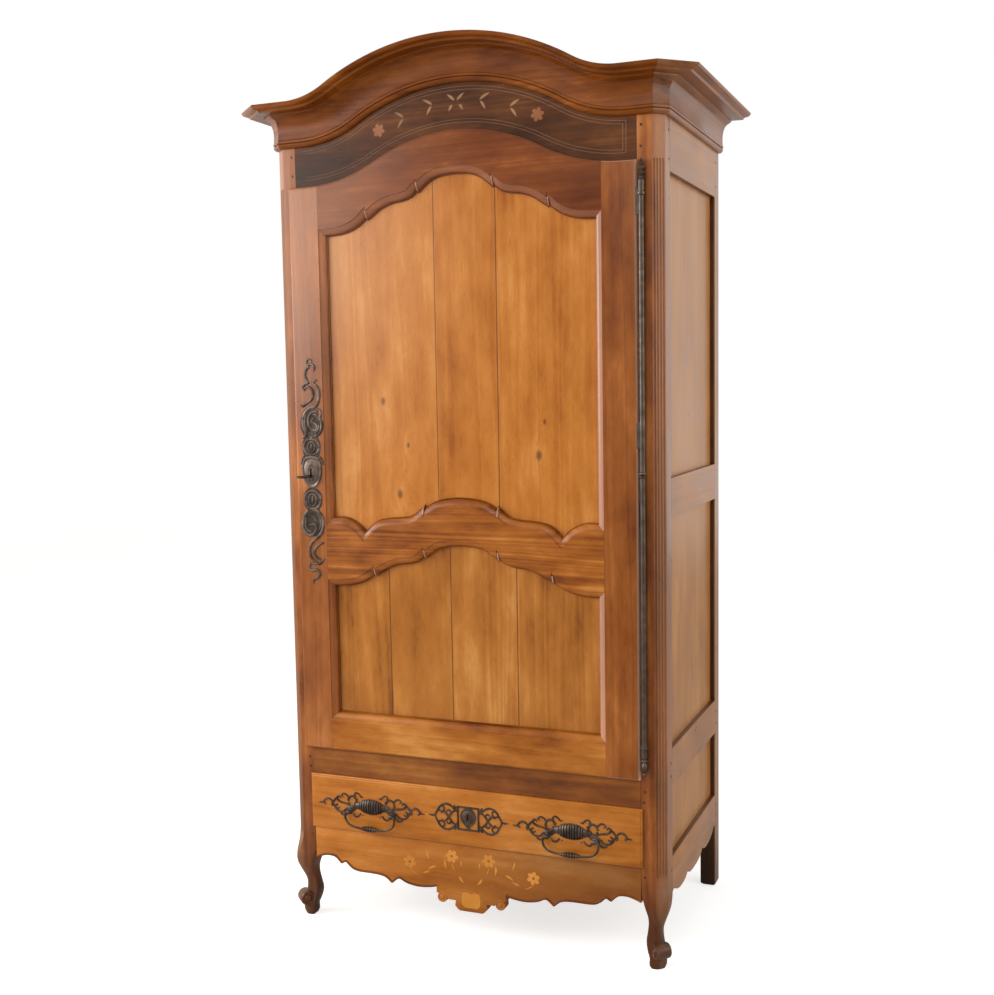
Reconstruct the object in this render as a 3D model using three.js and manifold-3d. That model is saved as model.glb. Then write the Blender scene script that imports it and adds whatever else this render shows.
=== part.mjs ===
// A bonnetiere: a tall, narrow linen press with one arched door over one drawer.
// Fluted canted posts run down into cabriole front feet with scrolled toes, and
// a moulded cornice rises over the door in a bonnet. Millimetres, +Z up, the front
// towards -Y, and the origin under the middle of the whole cabinet on the floor.
import * as THREE from 'three';
import { mergeVertices } from 'three/addons/utils/BufferGeometryUtils.js';
import Module from 'manifold-3d';

const wasm = await Module();
wasm.setup();

// Carcass
const bodyWidth = 976;
const bodyDepth = 596;
const jointGap = 0.3;
const overrun = 6;

// Front posts, each in one piece with its cabriole leg
const postFace = 58;
const postSide = 68;
const cantLeg = 24;
const postHead = 56;
const kneeGap = 18;
const footChamfer = 5;
const toeRadius = 18.5;
const toeLength = 38;
const toeHeight = 44;
const toeInset = 15.3;
const buttonRadius = 9;
const buttonProud = 2.5;

// Flutes in the cant of each front post
const fluteCount = 4;
const flutePitch = 7.6;
const fluteRadius = 2.6;
const plainHead = 95;
const fluteRun = 14;

// Rear posts
const rearFace = 40;
const rearSide = 46;
const rearFootChamfer = 6;

// Heights of the front, from the floor upwards
const drawerSill = 250;
const drawerOpening = 130;
const midRailHeight = 82;
const friezeHeight = 96;
const corniceBase = 1952;

// Arch over the door
const doorArchRise = 102;
const doorArchInset = 30;
const doorCrownShare = 0.527;

// Arch of the cornice's lower edge
const corniceRise = 113;
const corniceArchInset = 20;
const corniceCrownShare = 0.63;
const corniceHeight = 96;
const corniceProjection = 84;

// Front rails
const friezeThickness = 28;
const friezeCover = 50;
const midRailDepth = 45;
const apronThickness = 25;
const apronDrop = 175;
const frontTenonLength = 34;
const frontTenonThickness = 10;
const frontTenonSetback = 9;
const friezeTenonRise = 24;
const friezeTenonHeight = 90;
const midTenonHeight = 50;
const apronTenonHeight = 50;

// Side frames: rails and panels between the posts
const sideRailThickness = 28;
const sidePanelRecess = 13;
const sidePanelThickness = 10;
const grooveDepth = 8;
const sideTenonLength = 30;
const sideTenonShoulder = 14;
const sideApronLift = 4;
const sideApronDrop = 107;
const lowRailDrop = 32;
const lowRailRise = 56;
const sideMidRailBottom = 1056;
const sideMidRailHeight = 91;
const sideTopRailHeight = 172;

// Back frame and boards
const backRailThickness = 24;
const backRailInset = 10;
const backTenonLength = 14;
const backBottomRailLow = 170;
const backBottomRailHeight = 120;
const backTopRailHeight = 132;
const backBoardThickness = 12;
const backBoardCount = 6;
const boardChamfer = 2;

// Boards that lie flat inside
const floorThickness = 16;
const floorDrop = 4;
const ceilingDrop = 24;
const ceilingThickness = 14;
const shelfThickness = 20;
const lowerShelfRise = 442;
const upperShelfRise = 962;
const shelfSetback = 4;
const shelfSlack = 1;
const cleatSize = 24;

// Drawer
const drawerLipSide = 5;
const drawerLipEnd = 5;
const drawerProud = 8;
const drawerClearance = 1.5;
const drawerFrontThickness = 20;
const drawerLap = 6;
const drawerSideThickness = 12;
const drawerRearGap = 76;
const drawerSideHeight = 120;
const drawerBottomThickness = 7.4;
const drawerBottomRise = 8;
const drawerGroove = 6;
const tailCount = 3;
const tailWidth = 26;
const tailFlare = 3;
const runnerWidth = 42;
const runnerDepth = 14;
const guideHeight = 25;
const guidePlay = 2;

// Door
const doorLockLap = 17;
const doorHingeLap = 2;
const doorProud = 12;
const doorThickness = 34;
const doorLipEnd = 8;
const doorClearance = 1.5;
const doorStileWidth = 82;
const doorMouldWidth = 15;
const doorMouldDepth = 20;
const doorPanelThickness = 8;
const doorGroove = 9;
const lipRound = 7;
const doorTopRailHeight = 122;
const upperSightRise = 125;
const doorMidRailHeight = 175;
const lowerPanelHeight = 319;
const lowerSightRise = 110;
const doorBottomRailHeight = 91;
const doorTenonLength = 45;
const doorTenonThickness = 11;
const doorTenonInset = 16;
const topTenonHeight = 60;
const midTenonRise = 33;
const midTenonSpan = 95;
const bottomTenonRise = 16;
const bottomTenonSpan = 45;

// Pole hinge at the right of the door
const hingeReach = 10;
const hingeProud = 9.4;
const hingeRod = 6.5;
const hingeBarrel = 7;
const hingeCollar = 8.7;
const hingeSplitShare = 0.498;
const hingeTopRise = 2;
const hingeBottomRise = 4;
const hingePinRadius = 3.5;
const hingePinLength = 60;
const hingeWasher = 3;
const leafThickness = 3;
const leafHeight = 60;
const leafReach = 34;
const leafOffset = 60;

// Door lock and key
const lockRise = 102;
const lockBackset = 44;
const lockEdgeGap = 2;
const lockWidth = 64;
const lockTall = 100;
const lockDeep = 16;
const lockWall = 2.5;
const boltLength = 52;
const boltTall = 14;
const boltThick = 8;
const boltRise = 15;
const boltTravel = 14;
const keyShank = 3;
const keyBowWidth = 36;
const keyBowDepth = 26;
const keyBowBar = 5.5;
const keyReach = 45;
const keyBit = 12;
const keyBitThick = 3;
const keyholeRadius = 4;
const keyholeSlot = 4.4;
const keyholeRise = 17;

// Iron mounts of the door and the drawer
const plateThickness = 2;
const doorPlateHalf = 286;
const doorPlateRise = 8;
const doorPlateHalfWidth = 34;
const drawerPlateReachShare = 0.2465;
const drawerPlateHalfHeight = 34;
const pullPlateReachShare = 0.3442;
const pullPlateHalfHeight = 23;
const pullPlaceShare = 0.614;
const mountsRise = 64;
const strapWidth = 6;
const bailReachShare = 0.1535;
const bailDrop = 38;
const bailWire = 3;
const bailPivotDrop = 16;
const bailPivotReach = 9;
const earThickness = 8;
const earRadius = 6.5;
const gripRadius = 7.5;
const gripHalf = 24;

// Values that follow from the ones above
const halfWidth = bodyWidth / 2;
const openingHalf = halfWidth - postFace;
const postTop = corniceBase + postHead;
const doorShoulder = corniceBase - friezeHeight;
const kneeTop = drawerSill - kneeGap;
const fluteFoot = kneeTop - fluteRun;
const sideApronTop = drawerSill + sideApronLift;
const ceilingHeight = postTop - ceilingDrop;
const doorArchHalf = openingHalf - doorArchInset;
const corniceArchHalf = openingHalf - corniceArchInset;
const drawerLength = bodyDepth - drawerRearGap;
const doorLeft = -openingHalf - doorLockLap;
const doorRight = openingHalf + doorHingeLap;
const hingeX = doorRight + hingeReach;
const keyholeX = doorLeft + lockBackset;
const pullX = openingHalf * pullPlaceShare;
const pullPlateHalf = openingHalf * pullPlateReachShare;
const drawerPlateHalf = openingHalf * drawerPlateReachShare;
const bailHalf = openingHalf * bailReachShare;
const mountsHeight = drawerSill + mountsRise;
const rearPostX = halfWidth - rearFace;
const rearPostY = bodyDepth - rearSide;
const drawerHead = drawerSill + drawerOpening;
const doorSill = drawerHead + midRailHeight;
const floorTop = doorSill - floorDrop;
const lowerSightBottom = doorSill + doorBottomRailHeight;
const lowerSightTop = lowerSightBottom + lowerPanelHeight;
const upperSightBottom = lowerSightTop + doorMidRailHeight;
const upperSightTop = doorShoulder - doorTopRailHeight;
const lockHeight = upperSightBottom + lockRise;
const hingeTop = doorShoulder + hingeTopRise;
const hingeBottom = doorSill + hingeBottomRise;
const hingeSplit = hingeBottom + (hingeTop - hingeBottom) * hingeSplitShare;
const railInner = halfWidth - sideRailThickness;
const panelOuter = halfWidth - sidePanelRecess;
const panelInner = panelOuter - sidePanelThickness;
const backRailFront = bodyDepth - backRailInset - backRailThickness;
const boardFront = backRailFront + (backRailThickness - backBoardThickness) / 2;
const fluteHead = corniceBase - plainHead;
const doorRear = doorThickness - doorProud;
const panelFace = doorMouldDepth - doorProud;
const doorCentre = (doorLeft + doorRight) / 2;
const faceHalf = (doorRight - doorLeft) / 2 - doorStileWidth;
const sightHalf = faceHalf - doorMouldWidth;
const mitreTangent = Math.tan(Math.PI / 8);

// Materials, coloured as the old polished fruitwood and dark iron are
function finish(color, roughness, metalness) {
  return new THREE.MeshStandardMaterial({ color, roughness, metalness });
}
const walnut = finish(0x8a5228, 0.45, 0);
const honeyWood = finish(0xc08040, 0.42, 0);
const paleWood = finish(0xb08c70, 0.6, 0);
const darkWood = finish(0x3e2e22, 0.5, 0);
const insideWood = finish(0xa07a50, 0.75, 0);
const iron = finish(0x55493d, 0.5, 0.85);
const steel = finish(0x77716a, 0.4, 0.9);

// A closed mesh becomes a solid that can be cut and joined.
function solid(geometry) {
  const plain = geometry.clone();
  plain.deleteAttribute('normal');
  plain.deleteAttribute('uv');
  const merged = mergeVertices(plain);
  return new wasm.Manifold(new wasm.Mesh({
    numProp: 3,
    vertProperties: new Float32Array(merged.attributes.position.array),
    triVerts: new Uint32Array(merged.index.array),
  }));
}

// A finished solid becomes a geometry with flat faces again.
function geometryOf(body) {
  const mesh = body.getMesh();
  const shared = new THREE.BufferGeometry();
  shared.setAttribute('position', new THREE.BufferAttribute(mesh.vertProperties, mesh.numProp));
  shared.setIndex(new THREE.BufferAttribute(mesh.triVerts, 1));
  const flat = shared.toNonIndexed();
  flat.computeVertexNormals();
  return flat;
}

function join(...bodies) {
  return bodies.reduce((whole, body) => whole.add(body));
}

function cut(body, ...cutters) {
  return cutters.reduce((whole, cutter) => whole.subtract(cutter), body);
}

// A box between two corners, given in any order.
function block(x0, x1, y0, y1, z0, z1) {
  const box = new THREE.BoxGeometry(Math.abs(x1 - x0), Math.abs(y1 - y0), Math.abs(z1 - z0));
  box.translate((x0 + x1) / 2, (y0 + y1) / 2, (z0 + z1) / 2);
  return solid(box);
}

function shapeOf(points) {
  return new THREE.Shape(points.map(([a, b]) => new THREE.Vector2(a, b)));
}

function extruded(points, depth) {
  return new THREE.ExtrudeGeometry(shapeOf(points), { depth, bevelEnabled: false });
}

// An outline in X and Z, extruded from y0 back to y1.
function slab(points, y0, y1) {
  const geometry = extruded(points, y1 - y0);
  geometry.rotateX(Math.PI / 2);
  geometry.translate(0, y1, 0);
  return solid(geometry);
}

// An outline in X and Y, extruded from z0 up to z1.
function board(points, z0, z1) {
  const geometry = extruded(points, z1 - z0);
  geometry.translate(0, 0, z0);
  return solid(geometry);
}

// An outline in Y and Z, extruded from x0 to x1.
function sidePiece(points, x0, x1) {
  const low = Math.min(x0, x1);
  const geometry = extruded(points, Math.abs(x1 - x0));
  const turn = new THREE.Matrix4().makeBasis(
    new THREE.Vector3(0, 1, 0),
    new THREE.Vector3(0, 0, 1),
    new THREE.Vector3(1, 0, 0),
  );
  geometry.applyMatrix4(turn);
  geometry.translate(low, 0, 0);
  return solid(geometry);
}

// The mirror image of a geometry on the other side of the middle plane.
function mirrored(geometry) {
  const copy = geometry.index ? geometry.toNonIndexed() : geometry.clone();
  copy.scale(-1, 1, 1);
  const place = copy.attributes.position;
  const corner = new THREE.Vector3();
  const other = new THREE.Vector3();
  for (let i = 0; i < place.count; i += 3) {
    corner.fromBufferAttribute(place, i);
    other.fromBufferAttribute(place, i + 1);
    place.setXYZ(i, other.x, other.y, other.z);
    place.setXYZ(i + 1, corner.x, corner.y, corner.z);
  }
  return copy;
}

// Triangles over a flat ring, wound the same way round as the ring.
function capOf(ring) {
  const normal = new THREE.Vector3();
  ring.forEach((point, i) => {
    const next = ring[(i + 1) % ring.length];
    normal.x += (point.y - next.y) * (point.z + next.z);
    normal.y += (point.z - next.z) * (point.x + next.x);
    normal.z += (point.x - next.x) * (point.y + next.y);
  });
  const size = [Math.abs(normal.x), Math.abs(normal.y), Math.abs(normal.z)];
  const drop = size.indexOf(Math.max(...size));
  const flat = ring.map((p) => [
    new THREE.Vector2(p.y, p.z),
    new THREE.Vector2(p.z, p.x),
    new THREE.Vector2(p.x, p.y),
  ][drop]);
  const sign = Math.sign(THREE.ShapeUtils.area(flat));
  return THREE.ShapeUtils.triangulateShape(flat, []).map(([a, b, c]) => {
    const turn = Math.sign(THREE.ShapeUtils.area([flat[a], flat[b], flat[c]]));
    return turn === sign ? [a, b, c] : [a, c, b];
  });
}

// A closed skin over rings with equal numbers of points, with flat ends.
function loft(rings) {
  const count = rings[0].length;
  const faces = [];
  for (let i = 0; i + 1 < rings.length; i += 1) {
    for (let j = 0; j < count; j += 1) {
      const a = i * count + j;
      const b = i * count + ((j + 1) % count);
      faces.push([a, b, b + count], [a, b + count, a + count]);
    }
  }
  const last = (rings.length - 1) * count;
  capOf(rings[0]).forEach(([a, b, c]) => faces.push([c, b, a]));
  capOf(rings[rings.length - 1]).forEach(([a, b, c]) => faces.push([a + last, b + last, c + last]));
  const points = rings.flat();
  const volume = faces.reduce((sum, [a, b, c]) => (
    sum + points[a].dot(new THREE.Vector3().crossVectors(points[b], points[c]))
  ), 0);
  const wound = volume < 0 ? faces.map(([a, b, c]) => [a, c, b]) : faces;
  const geometry = new THREE.BufferGeometry().setFromPoints(points);
  geometry.setIndex(wound.flat());
  return geometry.toNonIndexed();
}

// An outline moved outwards by a distance, with mitred corners.
function grown(points, distance) {
  return points.map(([x, z], i) => {
    const before = points[(i + points.length - 1) % points.length];
    const after = points[(i + 1) % points.length];
    const a = new THREE.Vector2(z - before[1], before[0] - x).normalize();
    const b = new THREE.Vector2(after[1] - z, x - after[0]).normalize();
    const reach = distance / (1 + a.dot(b));
    return [x + (a.x + b.x) * reach, z + (a.y + b.y) * reach];
  });
}

// A smooth run through a few points.
function smooth(points, steps) {
  const curve = new THREE.SplineCurve(points.map(([a, b]) => new THREE.Vector2(a, b)));
  return curve.getPoints(steps).map((p) => [p.x, p.y]);
}

function ellipse(x, z, halfX, halfZ, sides) {
  return Array.from({ length: sides }, (_, i) => {
    const angle = (2 * Math.PI * i) / sides;
    return [x + halfX * Math.cos(angle), z + halfZ * Math.sin(angle)];
  });
}

// Arches: a crown arc between two hollow arcs that run out level. Every arch
// parallel to it shares its turning points, so mouldings keep an even width.
function makeArch(level, rise, halfSpan, crownShare) {
  const turn = 2 * Math.atan(rise / halfSpan);
  const both = halfSpan / Math.sin(turn);
  const radius = both * crownShare;
  return { level, rise, halfSpan, radius, turn, hollow: both - radius };
}

function archStations(arch, crownSteps, hollowSteps) {
  const stations = [];
  const crownCentre = arch.level + arch.rise - arch.radius;
  for (let i = 0; i < hollowSteps; i += 1) {
    const angle = (arch.turn * i) / hollowSteps;
    stations.push({
      x: -arch.halfSpan + arch.hollow * Math.sin(angle),
      z: arch.level + arch.hollow * (1 - Math.cos(angle)),
      angle: -angle,
    });
  }
  for (let i = 0; i <= crownSteps; i += 1) {
    const angle = arch.turn * ((2 * i) / crownSteps - 1);
    stations.push({
      x: arch.radius * Math.sin(angle),
      z: crownCentre + arch.radius * Math.cos(angle),
      angle,
    });
  }
  for (let i = hollowSteps - 1; i >= 0; i -= 1) {
    const angle = (arch.turn * i) / hollowSteps;
    stations.push({
      x: arch.halfSpan - arch.hollow * Math.sin(angle),
      z: arch.level + arch.hollow * (1 - Math.cos(angle)),
      angle,
    });
  }
  return stations;
}

function archPoints(arch, offset, crownSteps, hollowSteps) {
  return archStations(arch, crownSteps, hollowSteps).map(({ x, z, angle }) => [
    x + offset * Math.sin(angle),
    z + offset * Math.cos(angle),
  ]);
}

const doorArch = makeArch(doorShoulder, doorArchRise, doorArchHalf, doorCrownShare);
const corniceArch = makeArch(corniceBase, corniceRise, corniceArchHalf, corniceCrownShare);
const crownSteps = 10;
const hollowSteps = 4;

// Joints of the frame. Each tenon grown by the joint gap is its own mortise.
function frontTenon(side, low, height, grow) {
  return block(
    side * (openingHalf - overrun),
    side * (openingHalf + frontTenonLength + grow),
    frontTenonSetback - grow,
    frontTenonSetback + frontTenonThickness + grow,
    low - grow,
    low + height + grow,
  );
}

function frontTenons(side, grow) {
  return {
    frieze: frontTenon(side, doorShoulder + friezeTenonRise, friezeTenonHeight, grow),
    mid: frontTenon(side, drawerHead + (midRailHeight - midTenonHeight) / 2, midTenonHeight, grow),
    apron: frontTenon(side, drawerSill - apronTenonHeight - overrun, apronTenonHeight, grow),
  };
}

function sideTenon(side, atRear, low, high, grow) {
  const y0 = atRear ? rearPostY - overrun : postSide - sideTenonLength - grow;
  const y1 = atRear ? rearPostY + sideTenonLength + grow : postSide + overrun;
  return block(
    side * (panelInner - grow),
    side * (panelOuter + grow),
    y0,
    y1,
    low + sideTenonShoulder - grow,
    high - sideTenonShoulder + grow,
  );
}

const sideRails = {
  low: [floorTop - lowRailDrop, floorTop + lowRailRise],
  mid: [sideMidRailBottom, sideMidRailBottom + sideMidRailHeight],
  top: [postTop - sideTopRailHeight, postTop],
};
const [lowRailBottom, lowRailTop] = sideRails.low;
const [midRailBottom, midRailTop] = sideRails.mid;
const [topRailBottom] = sideRails.top;
const sideApronTenonLow = sideApronTop - sideApronDrop / 2 - sideTenonShoulder;

function sideMortises(side, atRear) {
  const spans = [...Object.values(sideRails), [sideApronTenonLow, sideApronTop]];
  return spans.map(([low, high]) => sideTenon(side, atRear, low, high, jointGap));
}

function sideGroove(side, atRear) {
  const y0 = atRear ? rearPostY - overrun : postSide - grooveDepth;
  const y1 = atRear ? rearPostY + grooveDepth : postSide + overrun;
  return block(
    side * (panelInner - jointGap),
    side * (panelOuter + jointGap),
    y0,
    y1,
    sideApronTop - grooveDepth,
    topRailBottom + grooveDepth,
  );
}

// The cabriole leg as sections: height, outer face, inner face along X, inner
// face along Y and corner cant, as shares of the knee height, the post's face,
// its face, its side and its cant.
const legShares = [
  [1.08, 0, 1, 1, 1],
  [1, 0, 1, 1, 1],
  [0.88, -0.015, 1, 1, 0.88],
  [0.78, -0.04, 0.985, 0.91, 0.6],
  [0.7, -0.055, 0.92, 0.83, 0.4],
  [0.62, -0.035, 0.835, 0.725, 0.36],
  [0.55, 0.045, 0.77, 0.665, 0.36],
  [0.48, 0.15, 0.765, 0.66, 0.36],
  [0.41, 0.245, 0.8, 0.69, 0.36],
  [0.35, 0.275, 0.84, 0.72, 0.36],
  [0.28, 0.26, 0.88, 0.755, 0.36],
  [0.22, 0.215, 0.86, 0.74, 0.36],
  [0.16, 0.165, 0.8, 0.685, 0.4],
  [0.105, 0.12, 0.725, 0.62, 0.5],
  [0.04, 0.11, 0.73, 0.625, 0.6],
  [0, 0.16, 0.67, 0.575, 0.6],
];

function legSection([heightShare, outerShare, faceShare, sideShare, cantShare]) {
  const z = kneeTop * heightShare;
  const outX = halfWidth - postFace * outerShare;
  const outY = postFace * outerShare;
  const inX = halfWidth - postFace * faceShare;
  const inY = postSide * sideShare;
  const cant = cantLeg * cantShare;
  const ease = Math.min(footChamfer, (footChamfer * (1 - heightShare)) / (1 - legShares[3][0]));
  const soft = Math.max(ease, jointGap);
  return [
    [inX + soft, outY],
    [outX - cant, outY],
    [outX, outY + cant],
    [outX, inY - soft],
    [outX - soft, inY],
    [inX + soft, inY],
    [inX, inY - soft],
    [inX, outY + soft],
  ].map(([x, y]) => new THREE.Vector3(x, y, z));
}

// The toe rolls forward in a scroll with a small button at each end.
function toe(radius, length) {
  const roll = new THREE.CylinderGeometry(radius, radius, length, 14);
  roll.rotateZ(-Math.PI / 4);
  roll.translate(halfWidth - toeInset, toeInset, toeHeight);
  return solid(roll);
}

function fluteCutter(index) {
  const along = (index - (fluteCount - 1) / 2) * flutePitch;
  const bar = new THREE.CylinderGeometry(fluteRadius, fluteRadius, fluteHead - fluteFoot, 6);
  bar.rotateX(Math.PI / 2);
  bar.translate(0, 0, (fluteHead + fluteFoot) / 2);
  const x = halfWidth - cantLeg / 2 + along * Math.SQRT1_2;
  const y = cantLeg / 2 + along * Math.SQRT1_2;
  return solid(bar).translate([x, y, 0]);
}

function frontPost(side) {
  const section = [
    [openingHalf, 0],
    [halfWidth - cantLeg, 0],
    [halfWidth, cantLeg],
    [halfWidth, postSide],
    [openingHalf, postSide],
  ];
  const shaft = board(section, kneeTop, postTop);
  const leg = solid(loft(legShares.map(legSection)));
  const scroll = join(toe(toeRadius, toeLength), toe(buttonRadius, toeLength + 2 * buttonProud));
  const flutes = Array.from({ length: fluteCount }, (_, i) => fluteCutter(i));
  const whole = cut(join(shaft, leg, scroll), ...flutes);
  const placed = side < 0 ? solid(mirrored(geometryOf(whole))) : whole;
  return cut(
    placed,
    ...Object.values(frontTenons(side, jointGap)),
    ...sideMortises(side, false),
    sideGroove(side, false),
  );
}

function backTenon(side, low, height, grow) {
  return block(
    side * (rearPostX - overrun),
    side * (rearPostX + backTenonLength + grow),
    boardFront - grow,
    boardFront + backBoardThickness + grow,
    low + sideTenonShoulder - grow,
    low + height - sideTenonShoulder + grow,
  );
}

const backTopRailLow = postTop - backTopRailHeight;

function rearPost(side) {
  const foot = [
    [rearPostX + rearFootChamfer, rearPostY + rearFootChamfer],
    [halfWidth - rearFootChamfer, rearPostY + rearFootChamfer],
    [halfWidth - rearFootChamfer, bodyDepth - rearFootChamfer],
    [rearPostX + rearFootChamfer, bodyDepth - rearFootChamfer],
  ];
  const full = [
    [rearPostX, rearPostY],
    [halfWidth, rearPostY],
    [halfWidth, bodyDepth],
    [rearPostX, bodyDepth],
  ];
  const at = (outline, z) => outline.map(([x, y]) => new THREE.Vector3(x, y, z));
  const shaft = loft([at(foot, 0), at(full, rearFootChamfer), at(full, postTop)]);
  const placed = solid(side < 0 ? mirrored(shaft) : shaft);
  const boards = block(
    side * (rearPostX - overrun),
    side * (rearPostX + grooveDepth),
    boardFront - jointGap,
    boardFront + backBoardThickness + jointGap,
    backBottomRailLow + backBottomRailHeight - grooveDepth,
    backTopRailLow + grooveDepth,
  );
  return cut(
    placed,
    ...sideMortises(side, true),
    sideGroove(side, true),
    boards,
    backTenon(side, backBottomRailLow, backBottomRailHeight, jointGap),
    backTenon(side, backTopRailLow, backTopRailHeight, jointGap),
  );
}

// The frieze rail fills the space between the door's arch and the cornice.
function friezeRail() {
  const lower = archPoints(doorArch, -doorLipEnd, crownSteps, hollowSteps);
  const upper = archPoints(corniceArch, friezeCover, crownSteps, hollowSteps).reverse();
  const half = openingHalf - jointGap;
  const low = doorShoulder - doorLipEnd;
  const high = corniceBase + friezeCover;
  const outline = [[-half, low], ...lower, [half, low], [half, high], ...upper, [-half, high]];
  return join(
    slab(outline, 0, friezeThickness),
    frontTenons(-1, 0).frieze,
    frontTenons(1, 0).frieze,
  );
}

function frontMidRail() {
  const half = openingHalf - jointGap;
  const rail = block(-half, half, 0, midRailDepth, drawerHead, doorSill);
  const groove = block(
    -bodyWidth,
    bodyWidth,
    midRailDepth - grooveDepth,
    midRailDepth + overrun,
    floorTop - floorThickness - jointGap,
    floorTop + jointGap,
  );
  return join(cut(rail, groove), frontTenons(-1, 0).mid, frontTenons(1, 0).mid);
}

// Half of the apron's lower edge as smooth runs from the post to the middle:
// shares of half the opening and of the apron's drop below the drawer.
const apronRunShares = [
  [[1, 0.52], [0.965, 0.485], [0.92, 0.46], [0.87, 0.475], [0.83, 0.56]],
  [[0.83, 0.56], [0.8, 0.53], [0.765, 0.6], [0.72, 0.64], [0.6, 0.645], [0.54, 0.67], [0.5, 0.745]],
  [[0.5, 0.745], [0.455, 0.665], [0.4, 0.715], [0.33, 0.74], [0.26, 0.725], [0.215, 0.7]],
];
const dropShares = [
  [0.215, 0.78],
  [0.15, 0.83],
  [0.145, 0.86],
  [0.095, 0.86],
  [0.1, 0.93],
  [0.085, 0.975],
  [0.07, 1],
];
const apronRunSteps = 6;

function apronHalf(side) {
  const runs = apronRunShares.flatMap((run) => smooth(run, apronRunSteps).slice(0, -1));
  return [...runs, ...dropShares].map(([x, z]) => [
    side * (openingHalf - jointGap) * x,
    drawerSill - apronDrop * z,
  ]);
}

const scrollRadius = 13;
const scrollPlaceShare = 0.179;
const scrollDropShare = 0.84;

function frontApron() {
  const half = openingHalf - jointGap;
  const outline = [
    ...apronHalf(-1),
    ...apronHalf(1).reverse(),
    [half, drawerSill],
    [-half, drawerSill],
  ];
  const scrolls = [-1, 1].map((side) => slab(
    ellipse(
      side * openingHalf * scrollPlaceShare,
      drawerSill - apronDrop * scrollDropShare,
      scrollRadius,
      scrollRadius,
      14,
    ),
    0,
    apronThickness,
  ));
  return join(
    slab(outline, 0, apronThickness),
    ...scrolls,
    frontTenons(-1, 0).apron,
    frontTenons(1, 0).apron,
  );
}

// Side frames
function sideRail(side, [low, high], grooves) {
  const rail = block(
    side * railInner,
    side * halfWidth,
    postSide + jointGap,
    rearPostY - jointGap,
    low,
    high,
  );
  const cutters = grooves.map((z) => block(
    side * (panelInner - jointGap),
    side * (panelOuter + jointGap),
    postSide - overrun,
    rearPostY + overrun,
    z - grooveDepth,
    z + grooveDepth,
  ));
  return join(
    cut(rail, ...cutters),
    sideTenon(side, false, low, high, 0),
    sideTenon(side, true, low, high, 0),
  );
}

// A groove in the side rails' inner faces that holds a board lying across.
function boardGroove(side, low, thickness) {
  return block(
    side * (railInner - overrun),
    side * (railInner + grooveDepth),
    0,
    bodyDepth,
    low - jointGap,
    low + thickness + jointGap,
  );
}

// The side apron's lower edge, half of it from a post to the middle.
const sideApronShares = [
  [[1, 0.8], [0.93, 0.76], [0.86, 0.84], [0.74, 0.93], [0.6, 0.96], [0.45, 0.94], [0.34, 0.85]],
  [[0.34, 0.85], [0.26, 0.95], [0.12, 0.995], [0, 1]],
];
const sideApronSteps = 6;

function sideApron(side) {
  const half = (rearPostY - postSide) / 2 - jointGap;
  const middle = (rearPostY + postSide) / 2;
  const runs = sideApronShares.flatMap((run) => smooth(run, sideApronSteps).slice(0, -1));
  const edge = (way) => runs.map(([y, z]) => [middle + way * half * y, sideApronTop - sideApronDrop * z]);
  const outline = [
    ...edge(-1),
    [middle, sideApronTop - sideApronDrop],
    ...edge(1).reverse(),
    [middle + half, sideApronTop],
    [middle - half, sideApronTop],
  ];
  const groove = block(
    side * (panelInner - jointGap),
    side * (panelOuter + jointGap),
    postSide - overrun,
    rearPostY + overrun,
    sideApronTop - grooveDepth,
    sideApronTop + overrun,
  );
  return join(
    cut(sidePiece(outline, side * railInner, side * halfWidth), groove),
    sideTenon(side, false, sideApronTenonLow, sideApronTop, 0),
    sideTenon(side, true, sideApronTenonLow, sideApronTop, 0),
  );
}

const panelTongue = grooveDepth - jointGap;

function sidePanel(side, low, high) {
  return block(
    side * panelInner,
    side * panelOuter,
    postSide - panelTongue,
    rearPostY + panelTongue,
    low - panelTongue,
    high + panelTongue,
  );
}

// Back
function backRail(low, height, grooveZ) {
  const half = rearPostX - jointGap;
  const rail = block(-half, half, backRailFront, backRailFront + backRailThickness, low, low + height);
  const groove = block(
    -bodyWidth,
    bodyWidth,
    boardFront - jointGap,
    boardFront + backBoardThickness + jointGap,
    grooveZ - grooveDepth,
    grooveZ + grooveDepth,
  );
  return join(cut(rail, groove), backTenon(-1, low, height, 0), backTenon(1, low, height, 0));
}

function backBoards() {
  const half = rearPostX + panelTongue;
  const low = backBottomRailLow + backBottomRailHeight - panelTongue;
  const high = backTopRailLow + panelTongue;
  const rear = boardFront + backBoardThickness;
  const seams = Array.from({ length: backBoardCount - 1 }, (_, i) => {
    const x = -half + ((2 * half) / backBoardCount) * (i + 1);
    const outline = [
      [x - boardChamfer, rear + boardChamfer],
      [x, rear - boardChamfer],
      [x + boardChamfer, rear + boardChamfer],
    ];
    return board(outline, low - overrun, high + overrun);
  });
  return cut(block(-half, half, boardFront, rear, low, high), ...seams);
}

// A board that fills the inside from front to back and is notched round the posts.
function insideBoard(half, front, rear, low, thickness) {
  const postHalf = openingHalf - jointGap;
  const rearHalf = rearPostX - jointGap;
  const frontNotch = front < postSide;
  const outline = [
    ...(frontNotch ? [[-postHalf, front], [postHalf, front]] : []),
    ...(frontNotch ? [[postHalf, postSide + jointGap]] : []),
    [half, Math.max(front, postSide + jointGap)],
    [half, rearPostY - jointGap],
    [rearHalf, rearPostY - jointGap],
    [rearHalf, rear],
    [-rearHalf, rear],
    [-rearHalf, rearPostY - jointGap],
    [-half, rearPostY - jointGap],
    [-half, Math.max(front, postSide + jointGap)],
    ...(frontNotch ? [[-postHalf, postSide + jointGap]] : []),
  ];
  return board(outline, low, low + thickness);
}

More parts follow.
